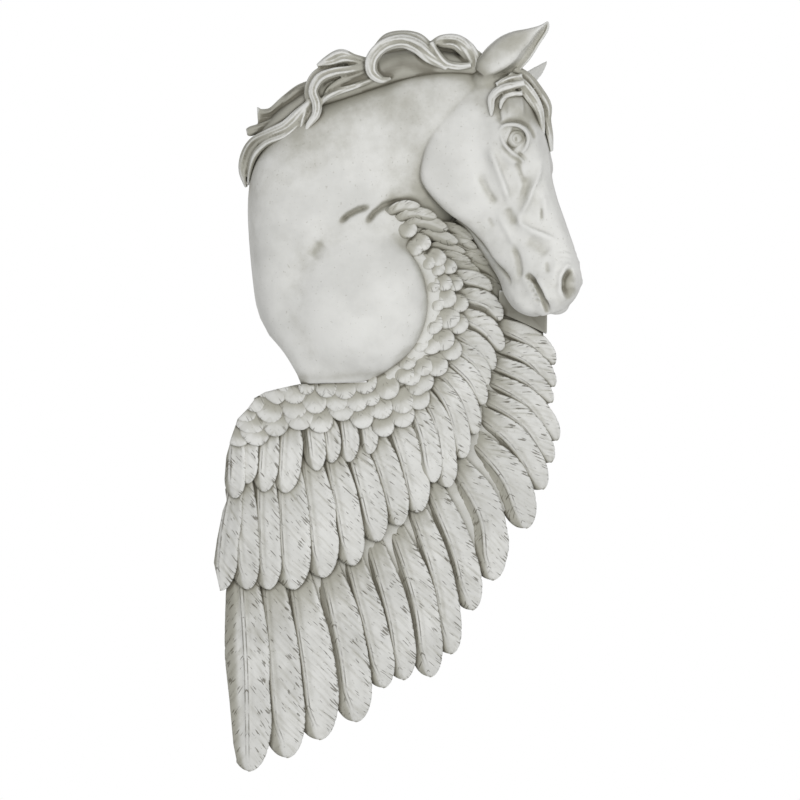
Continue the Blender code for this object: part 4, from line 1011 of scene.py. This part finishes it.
FINE_LOCKS = [
    # Strands in the hollow of the ring curl
    [(388, 79, 96, 3, 5), (388, 70, 97, 5, 9), (398, 62, 98, 6, 10),
     (414, 60, 98, 6, 9), (430, 66, 98, 3, 5)],
    [(393, 80, 96, 3, 5), (396, 73, 97, 5, 8), (406, 68, 98, 6, 9),
     (418, 68, 98, 5, 8), (430, 71, 98, 3, 5)],
    # Strands in the hollow beside the S-shaped lock
    [(370, 76, 94, 4, 6), (354, 77, 95, 6, 8), (338, 84, 94, 6, 8), (327, 95, 90, 3, 5)],
]
FINE_STROKES = [
    ([(523, 276.5), (530, 278.5)], 1.5, -3.4),
    ([(525, 281), (532, 283)], 1.5, -3.4),
    ([(527, 285.5), (534.5, 287.5)], 1.5, -3.4),
    ([(529, 290), (536.5, 292)], 1.5, -3.2),
    ([(531.5, 295), (538.5, 297)], 1.5, -3.0),
    ([(534, 300), (540.5, 302)], 1.5, -2.6),
    ([(528, 274), (534, 281), (538, 290), (542, 300), (546, 310)], 1.4, -2.5),
    ([(557, 253), (564, 250.5), (571, 253)], 1.3, -1.2),
    ([(557, 258), (564, 256), (573, 259)], 1.3, -1.2),
    ([(557, 263), (562, 261)], 1.3, -1.0),
    ([(500, 124), (510, 121.8), (520, 122.5), (527, 126.5), (531.5, 132), (533.5, 138)], 1.3, -1.4),
    ([(501, 103), (497.5, 113), (500, 123)], 1.5, -1.4),
    ([(516, 163), (519, 173), (524, 183)], 1.5, -1.5),
    ([(490, 150), (496, 166), (503, 185), (510, 205)], 3.0, 4.2),
    ([(541, 162), (535, 184), (528, 203), (520, 217)], 3.0, 4.2),
    ([(518, 214), (521, 225), (531, 231), (546, 237), (557, 242)], 2.9, 3.8),
    ([(530, 168), (527, 184), (521, 199)], 3.0, -1.6),
    ([(544, 196), (545, 216)], 2.8, 1.6),
    ([(497, 214), (508, 232), (514, 246)], 3.6, 2.2),
    ([(480, 178), (488, 192), (496, 204)], 2.0, -1.0),
    ([(551, 243), (556, 262), (553, 284)], 3.0, 1.2),
]


def clean_skin(ob, name, most):
    """Closed skin thinned to at most this many triangles, shaded smooth."""
    count = len(ob.data.polygons) * 2
    if count > most:
        thin = ob.modifiers.new("thin", "DECIMATE")
        thin.ratio = most / count
        applied(ob)
    ob.name = name
    ob.data.name = name
    for face in ob.data.polygons:
        face.use_smooth = True
    return ob


def within_casting(points):
    """Brings points up to the wall, and eases the ear tip, the muzzle and the lowest tip inward."""
    right, down, out = points.T
    right = np.where(right > MUZZLE_FROM, MUZZLE_FROM + (right - MUZZLE_FROM) * 0.92, right)
    down = np.where(down < EAR_TIP_FROM, EAR_TIP_FROM - (EAR_TIP_FROM - down) * 0.88, down)
    down = np.where(down > LOWEST_FROM, LOWEST_FROM + (down - LOWEST_FROM) * 0.96, down)
    out = np.where(out > 138, 138 + (out - 138) * 0.93, out)
    return np.stack([right, down, np.maximum(out, 0.3)], 1)


def right_of(line, down):
    """Right of a drawn line at each height on the drawing."""
    return np.interp(down, [at for _, at in line], [edge for edge, _ in line])


def down_of(line, right):
    return np.interp(right, [at for at, _ in line], [edge for _, edge in line])


def within_wing(points, inset):
    """Keeps feathers inside the wing's leading edge and under the line of the chest."""
    right, down, out = points.T
    right, down = right - inset, down - inset
    down = np.where(right < WING_TOP[-1][0], np.maximum(down, down_of(WING_TOP, right)), down)
    right = np.where(down > WING_LEFT[0][1], np.maximum(right, right_of(WING_LEFT, down)), right)
    return np.stack([right + inset, down + inset, out], 1)


def chest_trimmed(clay):
    """Cuts the chest straight above the wing, and its left side to the drawn line."""
    right, down, out = clay.points.T
    down = np.where(right < CHEST_BOTTOM[-1][0], np.minimum(down, down_of(CHEST_BOTTOM, right)), down)
    right = np.where(down > CHEST_LEFT[0][1], np.maximum(right, right_of(CHEST_LEFT, down)), right)
    clay.points = np.stack([right, down, out], 1)


def flatten_behind(ob):
    clay = Clay(ob)
    clay.points = within_casting(clay.points)
    return clay.close()


def wash_and_shade_along(points, places):
    """Extra darkening at each point, from lines on the drawing with their reach and depth: partly the real
    finish in creases and partly painted shade.
    """
    depth = np.zeros(len(points))
    for path, reach, amount in places:
        gap, _ = distance_to(path, points[:, 0], points[:, 1])
        depth += amount * np.exp(-((gap / reach) ** 2))
    return depth


def with_wash_and_shade(ob, depth):
    """Keeps with each point how far the finish darkens it: the real finish settled in hollows, and painted
    shade.
    """
    layer = ob.data.attributes.new("hollow", "FLOAT", "POINT")
    layer.data.foreach_set("value", np.asarray(depth, np.float32))
    return ob


def hollow_depth(clay, times):
    """How far each point lies under its surroundings, in millimetres."""
    before = clay.points.copy()
    clay.relax(1, times)
    depth = ((clay.points - before) * clay.normals).sum(1)
    clay.points = before
    return depth


def softened(ob, name, times, most):
    clay = Clay(ob)
    clay.relax(0.5, times)
    return flatten_behind(clean_skin(clay.close(), name, most))


def behind_neighbours(clay, reach):
    """How far each point lies behind the foremost hair within reach of it on the drawing."""
    right, down, out = clay.points.T
    across = (right - right.min()).astype(int)
    along = (down - down.min()).astype(int)
    front = np.zeros((across.max() + 1, along.max() + 1))
    np.maximum.at(front, (across, along), out)
    for _ in range(reach):
        wider = front.copy()
        wider[1:] = np.maximum(wider[1:], front[:-1])
        wider[:-1] = np.maximum(wider[:-1], front[1:])
        wider[:, 1:] = np.maximum(wider[:, 1:], front[:, :-1])
        wider[:, :-1] = np.maximum(wider[:, :-1], front[:, 1:])
        front = wider
    return front[across, along] - out


def upper_lip():
    """Fullness at the lowest point of the muzzle."""
    return ball((556, 304, 118), (13, 11, 14), 30)


def jaw_bed():
    """Flesh that fills in from the jaw and chin to the feathers beside them."""
    path = [(458, 218, 62, 12, 40), (476, 236, 62, 13, 40), (494, 258, 66, 15, 44), (507, 276, 80, 18, 50),
            (514, 290, 94, 22, 50), (523, 302, 98, 22, 50), (536, 307, 101, 20, 50), (544, 306, 101, 10, 40)]
    return tube(path, 32, 70)


def horse():
    clay = Clay(sculpted_head(140, 110, HORSE_GRAIN))
    twin, facing = head_twin(clay.points, clay.normals)
    worked(clay, FINE_STROKES, twin[:, 0], twin[:, 1], facing)
    head = clay.close()
    parts = [skin_of(head), poll(), *eyelids(), near_ear(), far_ear(), chin_web(), upper_lip(), jaw_bed()]
    parts.append(skin_of(sculpted_body(HORSE_GRAIN + 0.4)))
    skin = softened(fused(mesh_object("horse", parts), HORSE_GRAIN), "horse", 2, MOST_FINE)
    clay = Clay(skin)
    chest_trimmed(clay)
    clay.close()
    right, down, out = clay.points.T
    # Darkening kept with each point: real wash with painted shade in the hollows and along the drawn lines,
    # painted shadow on the web under the chin, and darker along the neck just under the mane
    depth = 0.45 * hollow_depth(clay, 12) + 0.12 * hollow_depth(clay, 90) + wash_and_shade_along(clay.points, WASH_AND_SHADE_LINES)
    under_chin = eased(down, 288, 296) * eased(right, 488, 496) * eased(-out, -96, -84)
    from_mane, _ = distance_to(UNDER_MANE, right, down)
    return with_wash_and_shade(skin, depth + 2.5 * under_chin + 0.9 * np.exp(-from_mane / 12) * eased(-out, -120, -100))


def ear():
    """The near ear once more, with a thin smooth rim."""
    skin = fused(mesh_object("ear", [near_ear(70, 90), far_rim()]), EAR_GRAIN)
    skin = softened(skin, "ear", 5, MOST_SMALL)
    clay = Clay(skin)
    # A little darker all over and more in its hollows: real wash with painted shade
    return with_wash_and_shade(skin, 0.3 + 0.5 * hollow_depth(clay, 60) + wash_and_shade_along(clay.points, WASH_AND_SHADE_LINES))


def combed(path, seed, sides=44, rings=90):
    """Lock with fine grooves combed along it."""
    line, _ = even_curve(path, rings)
    along = np.gradient(line[:, :2], axis=0)
    along /= np.maximum(np.linalg.norm(along, axis=1), 1e-6)[:, None]
    across = np.stack([along[:, 1], -along[:, 0]], 1)
    angle = np.linspace(0, 2 * math.pi, sides, endpoint=False)
    dice = np.random.default_rng(seed)
    widest = line[:, 3].max()
    count = int(round(widest / 3.6))
    starts = (np.arange(count) + 0.5 + dice.uniform(-0.2, 0.2, count)) / count * 2 - 1
    drifts = dice.normal(0, 0.16, (count, 2))
    dips = np.interp(np.linspace(0, 1, rings), np.linspace(0, 1, 6), dice.uniform(0.2, 1.0, 6))
    loops = []
    for k, (p, side) in enumerate(zip(line, across)):
        f = k / (rings - 1)
        half = np.maximum(p[3], 0.4) / 2
        reach = half * np.cos(angle)
        rise = np.maximum(p[4], 0.4) / 2 * np.sin(angle)
        cut = 0.11 * dips[k] * p[4] * np.exp(-((reach / half / 0.5) ** 2)) * eased(half, 3.5, 6)
        for start, drift in zip(starts, drifts):
            at = half * (start + drift[0] * math.sin(5 * f) + drift[1] * math.cos(9 * f))
            cut += np.exp(-(((reach - at) / 0.95) ** 2))
        rise -= COMB_DEPTH * cut * (np.sin(angle) > 0) * min(4 * f, 4 * (1 - f), half / 5, 1)
        loops.append(np.column_stack([p[:2] + reach[:, None] * side, p[2] + rise]))
    return loft(loops)


def hair():
    """Mane and forelock, their locks run together as they are in a casting."""
    locks = [combed(lock, k) for k, lock in enumerate(MANE_LOCKS + FORELOCKS + FINE_LOCKS)]
    bed = [(right, down + 3 * (right > 330), out + 1, width * (1.35 if right > 330 else 1), thick)
           for right, down, out, width, thick in MANE_BED]
    skin = fused(mesh_object("hair", [tube(bed, 32, 60)] + locks), HAIR_GRAIN)
    skin = softened(skin, "hair", 1, MOST_HAIR)
    clay = Clay(skin)
    # Darker in the mane's hollows, behind the foremost locks and deep in the curls: real wash with painted
    # shade
    depth = 1.8 * hollow_depth(clay, 14) + 0.5 * hollow_depth(clay, 80)
    depth += 0.12 * np.clip(behind_neighbours(clay, 20) - 7, 0, 20)
    in_hollow = eased(-clay.points[:, 2], -125, -112)
    return with_wash_and_shade(skin, depth + in_hollow * wash_and_shade_along(clay.points, HAIR_WASH_AND_SHADE_LINES))


def eye_piece():
    """Eyeball with its iris ring and pupil cut in."""
    points, faces = eyeball(150)
    gap = np.hypot(points[:, 0] - IRIS[0], points[:, 1] - IRIS[1])
    to_pupil = np.hypot((points[:, 0] - IRIS[0] + 1.5) / 0.55, (points[:, 1] - IRIS[1] - 1) / 1.4)
    seen = points[:, 2] > EYE_OUT
    cut = seen * (0.5 * np.exp(-(((gap - IRIS_RADIUS) / 0.8) ** 2)) + 1.3 * np.exp(-((to_pupil / 2.2) ** 2)))
    points[:, 2] -= cut
    # Darker in the cut iris ring and pupil: real wash with painted shade
    return with_wash_and_shade(clean_skin(mesh_object("eye", [(points, faces)]), "eye", MOST_SMALL), 0.3 + 0.7 * cut)


def ground(sheet):
    ob = clean_skin(mesh_object("ground", [wing_slab(sheet), scale_bed(sheet)]), "ground", MOST_SMALL)
    clay = Clay(flatten_behind(ob))
    clay.points = within_wing(clay.points, GROUND_INSET)
    clay.close()
    right, down, _ = clay.points.T
    # Painted shade on the ground under the jaw, with real wash and painted shade along the drawn lines
    under_jaw = 1.8 * eased(right, 440, 462) * eased(-down, -345, -310)
    return with_wash_and_shade(ob, under_jaw + 0.5 * wash_and_shade_along(clay.points, WASH_AND_SHADE_LINES))


def grids_object(name, vanes, inset):
    """One object from vanes: each a grid of points with UV maps and hollows, closed down to the back."""
    points, faces, uvs, rims, hollows, first = [], [], [], [], [], 0
    for k, (grid, uv, rim_uv, hollow) in enumerate(vanes):
        m, n, _ = grid.shape
        i, j = np.meshgrid(np.arange(m - 1), np.arange(n - 1), indexing="ij")
        a = (i * n + j).ravel()
        quads = np.stack([a, a + 1, a + n + 1, a + n], 1)
        edge = np.concatenate([
            np.arange(n - 1),
            np.arange(m - 1) * n + n - 1,
            (m - 1) * n + np.arange(n - 1, 0, -1),
            np.arange(m - 1, 0, -1) * n,
        ])
        flat, flat_uv, flat_rim = grid.reshape(-1, 3).copy(), uv.reshape(-1, 2), rim_uv.reshape(-1, 2)
        flat = within_wing(within_casting(flat), inset + VANE_INSET * k)
        flat[:, 2] = np.maximum(flat[:, 2], 1.2)
        low = flat[edge].copy()
        low[:, 2] = 0.4 + 0.01 * k
        ring = np.arange(len(edge)) + m * n
        skirt = np.stack([edge, ring, np.roll(ring, -1), np.roll(edge, -1)], 1)
        points.append(np.vstack([flat, low]))
        uvs.append(np.vstack([flat_uv, flat_uv[edge]]))
        below = np.column_stack([np.where(flat_rim[edge, 0] < 0, -3, 3), np.full(len(edge), -1)])
        rims.append(np.vstack([flat_rim, below]))
        # The side walls down to the wall are darker: painted shade
        hollows.append(np.concatenate([hollow.ravel(), hollow.ravel()[edge] + 0.8]))
        faces += (np.vstack([quads, skirt]) + first).tolist() + [(ring[::-1] + first).tolist()]
        first += m * n + len(edge)
    mesh = bpy.data.meshes.new(name)
    mesh.from_pydata(to_frame(np.vstack(points)).tolist(), [], faces)
    corner = np.empty(len(mesh.loops), np.int32)
    mesh.loops.foreach_get("vertex_index", corner)
    for layer_name, values in (("barbs", uvs), ("rim", rims)):
        layer = mesh.uv_layers.new(name=layer_name)
        layer.data.foreach_set("uv", np.vstack(values)[corner].astype(np.float32).ravel())
    for face in mesh.polygons:
        face.use_smooth = True
    ob = bpy.data.objects.new(name, mesh)
    bpy.context.scene.collection.objects.link(ob)
    return with_wash_and_shade(ob, np.concatenate(hollows))


def barb_splits(dice, run, gap, long):
    """Nearness, from 0 to 1, to the splits between clumps of barbs, which lean toward the tip."""
    knots = np.cumsum(dice.uniform(*CLUMP_LENGTH, int(long / CLUMP_LENGTH[0]) + 30)) - 1.4 * 30
    along = run - BARB_LEAN * gap
    after = np.clip(np.searchsorted(knots, along), 1, len(knots) - 1)
    before = knots[after - 1]
    nearest = np.minimum(along - before, knots[after] - along)
    strength = dice.uniform(0, 1, len(knots)) ** 1.5
    which = np.where(along - before < knots[after] - along, after - 1, after)
    return np.exp(-((np.maximum(nearest, 0) / 1.3) ** 2)) * strength[which]


def vane(sheet, shaft, half, heights, grid, seed, shaft_at=SHAFT_AT, tip=TIP_LENGTH):
    """Vane along its shaft with a rounded rim, a double shaft line and barbs in uneven clumps."""
    row_height, rim_height, rise = heights
    blade = Blade(shaft, half, *grid, tip)
    u, v, width = blade.u, blade.v, blade.width
    dice = np.random.default_rng(seed)
    run = (u * blade.long)[:, None] + 0 * v
    middle = shaft_at * width * (1 - eased(u, 0.8, 1))
    span = width[:, None] * v - middle[:, None]
    gap = np.abs(span)
    full = eased(gap / (0.9 * half), 0.12, 0.8)
    plain = tip != TIP_LENGTH
    splits = barb_splits(dice, run, gap, blade.long) * full * eased(u, 0.05, 0.3)[:, None] * (not plain)
    waves = np.interp(u, np.linspace(0, 1, 9), dice.normal(0, 0.02, 9))
    nicks = np.where(v < 0, 0.01, 0.05) * splits
    reach = width[:, None] * (v + (waves[:, None] - nicks) * eased(np.abs(v), 0.5, 1) * v)
    right, down = blade.places(reach)
    rim = np.minimum(width[:, None] * (1 - np.abs(v)), 0.85 * ((1 - u) * blade.long)[:, None] + 0 * v)
    inside = np.clip(rim, 0, RIM_RADIUS)
    fall = RIM_RADIUS - np.sqrt(RIM_RADIUS**2 - (RIM_RADIUS - inside) ** 2)
    has_shaft = 0 if half < 9 or plain else min(half / 12, 1)
    fade = (eased(1 - u, 0.08, 0.3) * has_shaft)[:, None]
    shaft_line = 0.9 * np.exp(-((gap / 2.0) ** 2)) - 0.8 * np.exp(-(((gap - 4.6) / 1.6) ** 2))
    sag = -0.9 * np.exp(-(((v - 0.45) / 0.28) ** 2)) - 0.9 * splits
    height = blade.height(row_height, rim_height, rise) + shaft_line * fade + sag - fall
    # Darkening kept with each point: painted shade near the root under the row above and on the left beside
    # the neighbour's raised rim, darker in the splits between clumps, lighter toward the right rim and on the
    # shaft
    at_root = (1.5 * (1 - eased(u, 0.4, 0.85)) if plain else 1.2 * (1 - eased(u, 0.08, 0.48)))[:, None]
    beside = 0 if plain else 1.7 * (1 - eased(v, -0.65, -0.15))
    hollow = at_root + beside + 0.6 * splits - 0.6 * eased(v, 0.7, 0.95) - 0.3 * shaft_line * fade
    to_end = ((1 - u) * blade.long)[:, None] + 0 * v
    barbs = np.stack([span / 100, run / 100 + 3.1 * seed], -1)
    return sheet.lifted(right, down, height), barbs, np.stack([v + 0 * span, to_end / 100], -1), hollow


def row_of_vanes(name, sheet, row, heights, grid, first, shafts=(), lifts=()):
    vanes = []
    row_height, rim_height, rise = heights
    for k, (root, middle, tip, half) in enumerate(row):
        shaft_at = shafts[k] if k < len(shafts) else SHAFT_AT
        lift = lifts[k] if k < len(lifts) else 0
        shaft = wing_places((root, middle, tip))
        raised = (row_height + lift, rim_height, rise)
        vanes.append(vane(sheet, shaft, half, raised, grid, first + k, shaft_at))
    return grids_object(name, vanes, VANE_INSET * first)


def scale_vanes(sheet):
    vanes = []
    heights = (SCALE_HEIGHT, SCALE_RIM_HEIGHT, 5)
    for k, (right, down, half) in enumerate(SCALES):
        shaft = wing_places(scale_shaft(right, down, half))
        full = half * SCALE_FULLNESS
        vanes.append(vane(sheet, shaft, full, heights, SCALE_GRID, SCALE_SEED + k, 0, SCALE_TIP_LENGTH))
    return grids_object("scales", vanes, 0)


# Finish


class Nodes:
    """Short way to wire shader nodes."""

    def __init__(self, name):
        self.material = bpy.data.materials.new(name)
        self.material.use_nodes = True
        self.tree = self.material.node_tree
        self.tree.nodes.clear()

    def add(self, kind, **inputs):
        node = self.tree.nodes.new(kind)
        settings = inputs.pop("settings", {})
        for key, value in settings.items():
            setattr(node, key, value)
        for key, value in inputs.items():
            socket = node.inputs[int(key[1:])] if key[1:].isdigit() else node.inputs[key.replace("_", " ")]
            if isinstance(value, bpy.types.NodeSocket):
                self.tree.links.new(value, socket)
            else:
                socket.default_value = value
        return node

    def noise(self, vector, scale, detail=3, roughness=0.5):
        node = self.add("ShaderNodeTexNoise", Vector=vector, Scale=scale, Detail=detail, Roughness=roughness)
        return node.outputs["Fac"]

    def ramp(self, value, low, high, out_low=0.0, out_high=1.0):
        node = self.add("ShaderNodeMapRange", Value=value, settings={"interpolation_type": "SMOOTHSTEP"},
                        From_Min=low, From_Max=high, To_Min=out_low, To_Max=out_high)
        return node.outputs[0]

    def math(self, operation, a, b=0.0):
        node = self.add("ShaderNodeMath", _0=a, _1=b, settings={"operation": operation, "use_clamp": False})
        return node.outputs[0]

    def mix(self, amount, a, b):
        node = self.tree.nodes.new("ShaderNodeMix")
        node.data_type = "RGBA"
        for socket, value in ((node.inputs["Factor"], amount), (node.inputs[6], a), (node.inputs[7], b)):
            if isinstance(value, bpy.types.NodeSocket):
                self.tree.links.new(value, socket)
            else:
                socket.default_value = value
        return node.outputs[2]

    def openness(self, distance):
        """From 0 in a hollow to 1 in the open, looked at over that distance."""
        node = self.add("ShaderNodeAmbientOcclusion", Distance=distance, settings={"samples": 6})
        return node.outputs["AO"]

    def stretched_noise(self, across, along, counts, detail, roughness):
        """Noise with its own count of marks in each direction."""
        place = self.add("ShaderNodeCombineXYZ", X=self.math("MULTIPLY", across, float(counts[0])),
                         Y=self.math("MULTIPLY", along, float(counts[1]))).outputs[0]
        return self.noise(place, 1.0, detail, roughness)


def feather_marks(n, colour, height, stain, barbs, shaft):
    """Barbs cut into the upper face of a feather, and lines beside its shaft."""
    uv = n.add("ShaderNodeUVMap", settings={"uv_map": "barbs"}).outputs["UV"]
    parts = n.add("ShaderNodeSeparateXYZ", Vector=uv)
    rim_uv = n.add("ShaderNodeUVMap", settings={"uv_map": "rim"}).outputs["UV"]
    rim_parts = n.add("ShaderNodeSeparateXYZ", Vector=rim_uv)
    side = n.math("ABSOLUTE", parts.outputs["X"])
    run = parts.outputs["Y"]
    to_rim = n.math("ABSOLUTE", rim_parts.outputs["X"])
    from_root = rim_parts.outputs["Y"]
    cross = n.math("SUBTRACT", n.math("MULTIPLY", run, 0.6), n.math("MULTIPLY", side, 0.8))
    with_barb = n.math("ADD", n.math("MULTIPLY", run, 0.8), n.math("MULTIPLY", side, 0.6))
    lines = n.stretched_noise(cross, with_barb, BARB_CUTS, 1, 0.4)
    patch = n.stretched_noise(side, run, BARB_PATCHES, 2, 0.5)
    at_rim = n.ramp(to_rim, 0.25, 0.95, -0.05, 0.05)
    start = n.math("SUBTRACT", n.math("ADD", n.math("MULTIPLY", patch, 0.4), 0.44), at_rim)
    on_top = n.math("MULTIPLY", n.ramp(to_rim, 1.0, 1.08, 1.0, 0.0), n.ramp(from_root, -0.03, 0.0))
    cut = n.math("MULTIPLY", n.ramp(n.math("SUBTRACT", lines, start), 0.0, 0.06), on_top)
    fold = n.math("MULTIPLY", n.stretched_noise(cross, with_barb, BARB_FOLDS, 2, 0.5), on_top)
    # Painted shade in the low parts of the folds
    shaded_fold = n.math("MULTIPLY", n.math("MULTIPLY", n.ramp(fold, 0.5, 0.3), 0.25), on_top)
    colour = n.mix(shaded_fold, colour, WASH_AND_SHADE)
    # Barb cuts darkened: real wash in the cuts with painted shade
    colour = n.mix(n.math("MULTIPLY", cut, barbs), colour, DEEP_WASH_AND_SHADE)
    height = n.math("SUBTRACT", height, n.math("MULTIPLY", cut, 2.2))
    height = n.math("ADD", height, n.math("MULTIPLY", fold, 2.0))
    if shaft:
        # Lines beside the shaft darkened: real wash in the grooves with painted shade
        to_line = n.math("ABSOLUTE", n.math("SUBTRACT", side, SHAFT_LINE))
        line = n.math("MULTIPLY", n.ramp(to_line, 0.008, 0.003), n.ramp(from_root, 0.08, 0.3))
        line = n.math("MULTIPLY", line, on_top)
        colour = n.mix(n.math("MULTIPLY", line, n.ramp(stain, 0.38, 0.6, 0.0, 0.65)), colour, DEEP_WASH_AND_SHADE)
        height = n.math("SUBTRACT", height, n.math("MULTIPLY", line, 1.5))
    return colour, height


def stone_finish(name, extra_wash_and_shade, barbs=0.0, shaft=False):
    """Antique white stone darkened grey-brown in its hollows, creases and under overhangs, partly as the real
    antique finish and partly as painted shade, and cut barbs on feathers.
    """
    n = Nodes(name)
    place = n.add("ShaderNodeTexCoord").outputs["Object"]
    near = n.openness(NEAR)
    tight = n.openness(TIGHT)
    wide = n.openness(WIDE)
    hollow = n.add("ShaderNodeAttribute", settings={"attribute_name": "hollow"}).outputs["Fac"]
    cloud = n.noise(place, 16, 4, 0.6)
    stain = n.noise(place, 55, 4, 0.65)
    grit = n.noise(place, 900, 2, 0.6)
    pits = n.noise(place, 420, 1, 0.4)
    uneven = n.math("MULTIPLY", n.math("SUBTRACT", stain, 0.5), 0.6)
    # Grey-brown darkening where the surface is closed in nearby and by the kept darkening: partly the real
    # wash, partly painted shade
    wash_and_shade_amount = n.math("ADD", n.math("MULTIPLY", hollow, 0.38), extra_wash_and_shade)
    open_and_unwashed = n.math("SUBTRACT", n.math("ADD", near, uneven), wash_and_shade_amount)
    wash_and_shade_mask = n.ramp(open_and_unwashed, 0.98, 0.30)
    # Darkest in tight creases and in the seams under raised rims: real wash with painted shade
    deep = n.ramp(n.math("SUBTRACT", tight, n.math("MULTIPLY", hollow, 0.22)), 0.72, 0.15)
    # Painted shade where the surface is closed in over the wide reach, as under the jaw
    shade = n.ramp(wide, 0.62, 0.15)
    colour = n.mix(n.ramp(cloud, 0.35, 0.7), PALE_STONE, GREY_STONE)
    colour = n.mix(n.math("MULTIPLY", shade, 0.55), colour, WASH_AND_SHADE)
    colour = n.mix(n.math("MULTIPLY", wash_and_shade_mask, 0.8), colour, WASH_AND_SHADE)
    colour = n.mix(n.math("MULTIPLY", deep, 0.8), colour, DEEP_WASH_AND_SHADE)
    pit = n.ramp(pits, 0.30, 0.24)
    colour = n.mix(n.math("MULTIPLY", pit, 0.35), colour, WASH_AND_SHADE)
    height = n.math("MULTIPLY", grit, 0.12)
    height = n.math("SUBTRACT", height, n.math("MULTIPLY", pit, 0.25))
    height = n.math("ADD", height, n.math("MULTIPLY", n.noise(place, 160, 3, 0.55), 0.5))
    if barbs:
        colour, height = feather_marks(n, colour, height, stain, barbs, shaft)
    bump = n.add("ShaderNodeBump", Strength=0.55, Distance=0.0006, Height=height)
    rough = n.ramp(stain, 0.3, 0.7, 0.72, 0.88)
    shader = n.add("ShaderNodeBsdfPrincipled", Base_Color=colour, Roughness=rough, Normal=bump.outputs[0])
    shader.inputs["Specular IOR Level"].default_value = 0.35
    n.add("ShaderNodeOutputMaterial", Surface=shader.outputs[0])
    return n.material


# Studio


def look_at(ob, target):
    ob.rotation_euler = (Vector(target) - ob.location).to_track_quat("-Z", "Y").to_euler()


def camera():
    data = bpy.data.cameras.new("camera")
    data.lens = CAMERA_LENS
    data.sensor_width = SENSOR_WIDTH
    ob = bpy.data.objects.new("camera", data)
    bpy.context.scene.collection.objects.link(ob)
    middle = to_frame((PICTURE_SIZE / 2, PICTURE_SIZE / 2, AIM_OUT))
    ob.location = middle + np.array([0, -PICTURE_SIZE * MM * CAMERA_LENS / SENSOR_WIDTH, 0])
    look_at(ob, middle)
    bpy.context.scene.camera = ob


def lamp(name, place, aim, size, watts):
    data = bpy.data.lights.new(name, "AREA")
    data.shape = "DISK"
    data.size = size
    data.energy = watts
    ob = bpy.data.objects.new(name, data)
    bpy.context.scene.collection.objects.link(ob)
    ob.location = place
    look_at(ob, aim)


def backdrop():
    """White wall, plain white where the camera sees it."""
    mesh = bpy.data.meshes.new("backdrop")
    corners = [(-1, -1), (1, -1), (1, 1), (-1, 1)]
    mesh.from_pydata([(x * WALL_HALF, WALL_BEHIND, z * WALL_HALF) for x, z in corners], [], [(0, 1, 2, 3)])
    ob = bpy.data.objects.new("backdrop", mesh)
    bpy.context.scene.collection.objects.link(ob)
    n = Nodes("white_wall")
    path = n.add("ShaderNodeLightPath")
    seen = n.math("MAXIMUM", path.outputs["Is Camera Ray"], path.outputs["Is Glossy Ray"])
    lit = n.add("ShaderNodeBsdfDiffuse", Color=(0.85, 0.85, 0.85, 1))
    white = n.add("ShaderNodeEmission", Color=(1, 1, 1, 1), Strength=1.0)
    mix = n.add("ShaderNodeMixShader", Fac=seen, _1=lit.outputs[0], _2=white.outputs[0])
    n.add("ShaderNodeOutputMaterial", Surface=mix.outputs[0])
    mesh.materials.append(n.material)
    return ob


def studio():
    scene = bpy.context.scene
    scene.view_settings.view_transform = "Standard"
    world = bpy.data.worlds.new("studio")
    scene.world = world
    world.use_nodes = True
    background = world.node_tree.nodes["Background"]
    background.inputs["Color"].default_value = (1, 1, 1, 1)
    background.inputs["Strength"].default_value = FILL
    lamp("key", (0.75, -2.5, 0.1), (0.05, 0, -0.05), 0.9, 29)
    lamp("front", (-0.7, -2.5, -0.4), (0, 0, -0.1), 1.4, 12)


def main():
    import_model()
    studio()
    camera()
    backdrop()
    sheet = Sheet()
    sheet.edge[:, 0] -= FIRST_FEATHER_SHIFT * eased(sheet.edge[:, 1], 540, 600)
    body = [horse(), ear(), eye_piece(), ground(sheet)]
    heights = {
        "long": (LONG_HEIGHT, LONG_RIM_HEIGHT, 1),
        "middle": (MIDDLE_HEIGHT, MIDDLE_RIM_HEIGHT, 2),
        "short": (SHORT_HEIGHT, SHORT_RIM_HEIGHT, 1),
        "collar": (COLLAR_HEIGHT, COLLAR_RIM_HEIGHT, 5),
    }
    feathers = [
        row_of_vanes("long_feathers", sheet, LONG, heights["long"], (125, 43), 0, [0]),
        row_of_vanes("middle_feathers", sheet, MIDDLE, heights["middle"], (100, 45), 20),
        row_of_vanes("short_feathers", sheet, SHORT, heights["short"], (70, 41), 40),
    ]
    collar = row_of_vanes("collar_feathers", sheet, COLLAR, heights["collar"], (50, 31), 70, (), COLLAR_LIFTS)
    # The extra darkening of each finish is partly real wash and partly painted shade: on the collar it is
    # painted shade under the jaw, and the hair is darker all over
    finishes = (
        (body, stone_finish("stone_wash_and_shade", 0.05)),
        ([hair()], stone_finish("hair_wash_and_shade", 0.46)),
        ([collar], stone_finish("collar_wash_and_shade", 0.32, 0.6)),
        ([scale_vanes(sheet)], stone_finish("scales_wash_and_shade", 0.08, 0.45)),
        (feathers, stone_finish("barbs_wash_and_shade", 0.08, 0.75, True)),
    )
    for pieces, material in finishes:
        for piece in pieces:
            piece.data.materials.append(material)
            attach(piece, "root")
    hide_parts("pegasus")


main()
